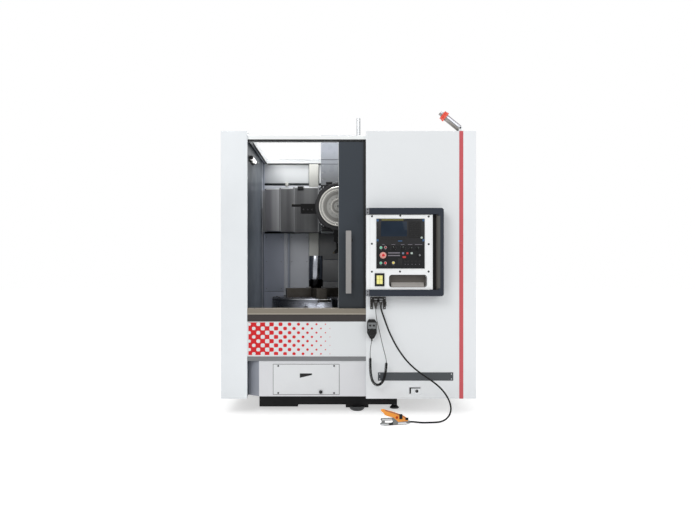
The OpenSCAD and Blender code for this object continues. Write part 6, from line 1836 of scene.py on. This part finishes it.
plate(bm, on_clamp, (-0.03, 0.0), (0.0075, 0.01), (-0.0083, 0.0083), 0.001)
piece("clamp_frame_details", bm, "root", [spring_black, nut_steel, steel_bright])
print("clamp dressed")

# %% Signal lamp: lens ribs, end cap ring and the foot's screws
bm = bmesh.new()
LENS_R = 0.039
for k in range(5):
    turned(bm, [(LENS_R - 0.0006, 0), (LENS_R + 0.0009, 0.0008), (LENS_R + 0.0009, 0.0018),
                (LENS_R - 0.0006, 0.0026)], lamp_pivot + lamp_way * (0.1672 + 0.0042 * k),
           lamp_way, 48)
turned(bm, [(0.0215, 0.0002), (0.0225, 0.001), (0.0225, 0.004), (0.0212, 0.0055)],
       lamp_pivot + lamp_way * 0.1892, lamp_way, 40, 1)
turned(bm, [(0.028, 0), (0.0288, 0.0008), (0.0288, 0.004), (0.028, 0.0048)],
       lamp_pivot + lamp_way * 0.144, lamp_way, 48, 1)
lens_rib = moulded("lens_rib", chip(224, 74, 58), 0.25)
cap_grey = moulded("lamp_cap_grey", chip(150, 152, 152), 0.4)
piece("signal_ribs", bm, "signal", [lens_rib, cap_grey])
bm = bmesh.new()
for x in (-0.031, 0.031):
    for y in (-0.025, 0.025):
        screw(bm, lamp_pivot + Vector((x, y, -0.031)), UP, 0.0045)
for y in (-0.0335, 0.0335):
    turned(bm, [(0.0085, 0), (0.0085, 0.001), (0.006, 0.003), (0, 0.003)],
           lamp_pivot + Vector((0, y * 0.97, 0)), (0, y / abs(y), 0), 6)
piece("signal_foot_screws", bm, "root", [screw_dark])
print("signal lamp finished")

# %% [markdown]
# ## The outer covers: sides, back and roof
# A machine's covers are never one sheet. They are panels that two people can lift, hung on a frame
# with a few millimetres between them, and they carry pulls, cooling grilles, locks and screws.
# Boolean cutters could open each panel, but they leave messy meshes. So a panel is a grid of cells:
# cells that are left out become openings, and the walls round an opening are made with it.

# %% A panel with openings, and what goes into them
SHEET = 0.0016
GAP = 0.002


def holed(bm, place, us, vs, skip=(), index=0, thick=SHEET):
    """Adds a sheet as a grid between the lines us and vs, leaving out the cells (i, j) in skip."""
    cells = {(i, j) for i in range(len(us) - 1) for j in range(len(vs) - 1)} - set(skip)
    corners = {}

    def corner(i, j, w):
        if (i, j, w) not in corners:
            corners[i, j, w] = bm.verts.new(place(us[i], vs[j], w))
        return corners[i, j, w]

    for i, j in cells:
        ring = [(i, j), (i + 1, j), (i + 1, j + 1), (i, j + 1)]
        quads = [[corner(*p, 0.0) for p in ring], [corner(*p, -thick) for p in reversed(ring)]]
        for k, step in enumerate(((0, -1), (1, 0), (0, 1), (-1, 0))):
            if (i + step[0], j + step[1]) not in cells:
                a, b = ring[k], ring[(k + 1) % 4]
                quads.append([corner(*a, 0.0), corner(*a, -thick), corner(*b, -thick),
                              corner(*b, 0.0)])
        for quad in quads:
            bm.faces.new(quad).material_index = index


def cup(bm, place, u, v, deep, index):
    """Adds a pressed pocket behind an opening: a floor and four walls."""
    wall = 0.0012
    plate(bm, place, (u[0] - wall, u[1] + wall), (v[0] - wall, v[1] + wall), (-deep - wall, -deep),
          0, index)
    for a, b in ((u[0] - wall, u[0]), (u[1], u[1] + wall)):
        plate(bm, place, (a, b), (v[0] - wall, v[1] + wall), (-deep, -SHEET), 0, index)
    for a, b in ((v[0] - wall, v[0]), (v[1], v[1] + wall)):
        plate(bm, place, u, (a, b), (-deep, -SHEET), 0, index)


def grille(bm, place, u, v, pitch, index, dark):
    """Adds sloping blades and a dark filter mat behind an opening."""
    plate(bm, place, (u[0] - 0.004, u[1] + 0.004), (v[0] - 0.004, v[1] + 0.004), (-0.026, -0.022),
          0, dark)
    for k in range(int((v[1] - v[0]) / pitch)):
        low_v = v[0] + k * pitch
        outline(bm, [(low_v, -0.0008), (low_v + 0.0012, -0.0008), (low_v + pitch, -0.017),
                     (low_v + pitch - 0.0012, -0.017)], lambda a, w,
                long: place(u[0] + long, a, w), u[1] - u[0], index)


def sunk_screw(bm, place, u, v, outward, radius=0.0042):
    """Adds a screw whose head stands only a little proud of the sheet."""
    screw(bm, place(u, v, -0.0012), outward, radius, BOLT, 12)


def turn_lock(bm, place, u, v, outward, index, dark):
    """Adds a flush quarter-turn lock: a bright ring, a dark core and a slot."""
    at = place(u, v, 0.0)
    turned(bm, [(0.013, 0), (0.013, 0.0008), (0.0118, 0.0014), (0.0096, 0.0014), (0.0096, 0.0002)],
           at, outward, 24, index)
    turned(bm, [(0.0096, 0.0002), (0.009, 0.0008), (0, 0.0008)], at, outward, 24, dark)
    plate(bm, place, (u - 0.0012, u + 0.0012), (v - 0.0062, v + 0.0062), (0.0008, 0.0011), 0, index)


def soften(obj, width):
    """Rounds the edges of a piece by a small width, so that they catch a line of light."""
    edge = obj.modifiers.new("soft_edge", "BEVEL")
    edge.width = width
    edge.segments = 2
    edge.limit_method = "ANGLE"
    edge.angle_limit = radians(50)
    return obj


shell_low, shell_high = low("outer_panels"), high("outer_panels")
INSET = 0.0015
FOOT_V, KICK_V, TOP_V = shell_low.z + 0.001, 0.56, shell_high.z - INSET
back_y, side_x, fold_y = shell_high.y - INSET, shell_high.x - INSET, shell_low.y
panel_coat = paint("panel_white_coat", chip(229, 231, 233), 0.4, peel=0.00006, bottom_darkening=0.25)
seam_dark = paint("seam_shadow", chip(46, 48, 50), 0.6)
pocket_grey = paint("pocket_grey", chip(120, 123, 126), 0.45)
cover_finishes = [panel_coat, seam_dark, pocket_grey, steel_bright, screw_dark]
PAINT, DARK, POCKET, BRIGHT, BOLT = range(5)
print("covers from z", round(FOOT_V, 3), "to", round(TOP_V, 3))

# %% One wall of panels
LOCK_RISE = (0.16, 0.5, 0.84)


def wall(name, place, outward, lines, kinds):
    """A wall of panels between upright lines. Each kind says what the upper panel carries."""
    bm = bmesh.new()
    plate(bm, place, (lines[0], lines[-1]), (FOOT_V + 0.001, TOP_V - 0.001), (-0.029, -0.0275), 0,
          DARK)
    for line in lines[1:-1]:
        plate(bm, place, (line - 0.014, line + 0.014), (FOOT_V, TOP_V), (-0.006, -0.0022), 0, DARK)
    plate(bm, place, (lines[0], lines[-1]), (KICK_V - 0.014, KICK_V + 0.014), (-0.0066, -0.0022),
          0, DARK)
    for (a, b), kind in zip(zip(lines, lines[1:]), kinds):
        a, b = a + GAP, b - GAP
        wide, mid = b - a, (a + b) / 2
        us = [a, mid - 0.3 * wide, mid + 0.3 * wide, b]
        if kind == "door":
            vs = [KICK_V + GAP, KICK_V + 0.1, KICK_V + 0.26, TOP_V - 0.26, TOP_V - 0.1, TOP_V]
            holed(bm, place, us, vs, {(1, 1), (1, 3)})
            for j in (1, 3):
                grille(bm, place, us[1:3], vs[j:j + 2], 0.016, PAINT, DARK)
            for share in LOCK_RISE:
                turn_lock(bm, place, b - 0.035, KICK_V + share * (TOP_V - KICK_V), outward, BRIGHT,
                          BOLT)
            for share in LOCK_RISE:
                v = KICK_V + share * (TOP_V - KICK_V)
                plate(bm, place, (a + 0.004, a + 0.016), (v - 0.04, v + 0.04), (0, 0.0014), 0.0006,
                      BRIGHT)
        else:
            pull = 1.25
            us = [a, mid - 0.055, mid + 0.055, b]
            vs = [KICK_V + GAP, pull, pull + 0.036, TOP_V]
            holed(bm, place, us, vs, {(1, 1)})
            cup(bm, place, us[1:3], vs[1:3], 0.022, POCKET)
            for u in (a + 0.022, b - 0.022):
                for share in (0.015, 0.34, 0.66, 0.985):
                    sunk_screw(bm, place, u, KICK_V + share * (TOP_V - KICK_V), outward)
        kick = [FOOT_V, FOOT_V + 0.13, FOOT_V + 0.25, KICK_V - GAP]
        if kind == "door":
            holed(bm, place, us, kick, {(1, 1)})
            grille(bm, place, us[1:3], kick[1:3], 0.016, PAINT, DARK)
        else:
            holed(bm, place, [a, b], kick)
        for u in (a + 0.022, b - 0.022):
            for v in (FOOT_V + 0.022, KICK_V - 0.022):
                sunk_screw(bm, place, u, v, outward)
    return soften(piece(name, bm, "root", cover_finishes, 30), 0.0005)


side_lines = [fold_y + 0.001, fold_y + 0.62, fold_y + 1.24, back_y]
left_wall = wall("left_side_panels", lambda u, v, w: Vector((-side_x - w, u, v)), (-1, 0, 0),
                 side_lines, ["plain", "plain", "plain"])
wall("right_side_panels", lambda u, v, w: Vector((side_x + w, u, v)), (1, 0, 0), side_lines,
     ["plain", "door", "door"])
back_lines = [-side_x, -0.56, 0.0, 0.56, side_x]
wall("rear_panels", lambda u, v, w: Vector((u, back_y + w, v)), (0, 1, 0), back_lines,
     ["plain", "door", "door", "plain"])
print("side, cabinet and rear panels hung")

# %% [markdown]
# ## Roof plates, curbs and lifting points
# The roof is open over the work space, for a crane, and closed beside it. The plates are screwed
# down, and black caps cover the threads for the lifting eyes. The rear strip lies a little lower,
# level with the beam across the front.

# %% Roof plates
open_left, open_right = low("top_frame").x, high("top_frame").x
rear_start = high("chamber_walls").y
roof_z = shell_high.z - INSET
rear_z = high("top_frame").z


def roof(u, v, w):
    return Vector((u, v, roof_z + w))


bm = bmesh.new()
roof_lines = [fold_y + 0.001, fold_y + 0.62, fold_y + 1.24, back_y - SHEET]
strips = ((-side_x + SHEET, open_left), (open_right, side_x - SHEET))
for a, b in strips:
    plate(bm, roof, (a, b), (roof_lines[0], roof_lines[-1]), (-0.012, -0.01), 0, DARK)
    for y0, y1 in zip(roof_lines, roof_lines[1:]):
        holed(bm, roof, [a + 0.001, b], [y0 + GAP, y1 - GAP])
        for u in (a + 0.024, b - 0.024):
            for v in (y0 + 0.028, (y0 + y1) / 2, y1 - 0.028):
                sunk_screw(bm, roof, u, v, UP)
    for v in (roof_lines[1] - 0.1, roof_lines[2] + 0.1):
        turned(bm, [(0.034, 0), (0.034, 0.0006), (0.031, 0.0014), (0.012, 0.0014), (0.01, 0.0004),
                    (0, 0.0004)], roof((a + b) / 2, v, 0.0), UP, 32, BOLT)
for x, t in ((strips[0][1], -SHEET), (strips[1][0], SHEET)):
    plate(bm, roof, sorted((x, x + t)), (fold_y + 0.001, back_y - SHEET),
          (rear_z - 0.04 - roof_z, -0.0004), 0.0004, PAINT)
rear = lambda u, v, w: Vector((u, v, rear_z + w))
plate(bm, rear, (strips[0][1], strips[1][0]), (back_y - 0.003, back_y - SHEET),
      (-0.004, roof_z - rear_z), 0, PAINT)
rear_lines = [strips[0][1] + 0.001, strips[0][1] + 0.48, strips[1][0] - 0.48, strips[1][0] - 0.001]
plate(bm, rear, (rear_lines[0], rear_lines[-1]), (rear_start, back_y - 0.004), (-0.014, -0.012), 0,
      DARK)
for a, b in zip(rear_lines, rear_lines[1:]):
    vents = [rear_start + 0.004, rear_start + 0.2, back_y - 0.26, back_y - 0.005]
    us = [a + GAP, a + 0.09, b - 0.09, b - GAP]
    holed(bm, rear, us, vents, {(1, 1)})
    grille(bm, rear, us[1:3], vents[1:3], 0.018, PAINT, DARK)
    for u in (a + 0.026, b - 0.026):
        for v in (vents[0] + 0.024, vents[-1] - 0.024):
            sunk_screw(bm, rear, u, v, UP)
soften(piece("roof_plates", bm, "root", cover_finishes, 30), 0.0005)
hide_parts("outer_panels")

# The cabinet behind the right side's doors stands back, so that their grilles can breathe.
CABINET_BACK, CABINET_RIBS = 0.034, 5
case_low, case_high = low("electrical_cabinet"), high("electrical_cabinet")
case_x = case_high.x - CABINET_BACK
bm = bmesh.new()
slab(bm, case_low, (case_x, case_high.y, case_high.z), 0.004)
for k in range(CABINET_RIBS):
    y = case_low.y + (k + 0.5) * (case_high.y - case_low.y) / CABINET_RIBS
    slab(bm, (case_x, y - 0.02, case_low.z + 0.03), (case_x + 0.003, y + 0.02, case_high.z - 0.03),
         0.001, 1)
cabinet = piece("cabinet_shell", bm, "root", [cabinet_coat])
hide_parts("electrical_cabinet")
print("roof plates laid, rear strip at z =", round(rear_z, 3))

# %% [markdown]
# ## A liner beside the apron
# Between the left cover and the lower apron stands a narrow grey liner that closes the gap. The
# levelling feet are threaded studs, and each is locked against the base by a hex nut with
# chamfered corners, over a washer.

# %% Liner
liner_x = low("lower_apron").x
liner_coat = paint("liner_grey", chip(92, 97, 106), 0.42, shine=0.25)
bm = bmesh.new()
slab(bm, (liner_x - 0.0016, front + 0.012, low("lower_apron").z),
     (liner_x + 0.0004, front + 0.11, low("door_sill").z), 0.0004)
piece("apron_liner", bm, "root", [liner_coat])
print("liner stands at x =", round(liner_x, 3))

# %% [markdown]
# ## Count the pieces
# The script ends by counting the pieces it made.

# %% Count the pieces
print(len(made), "pieces made")
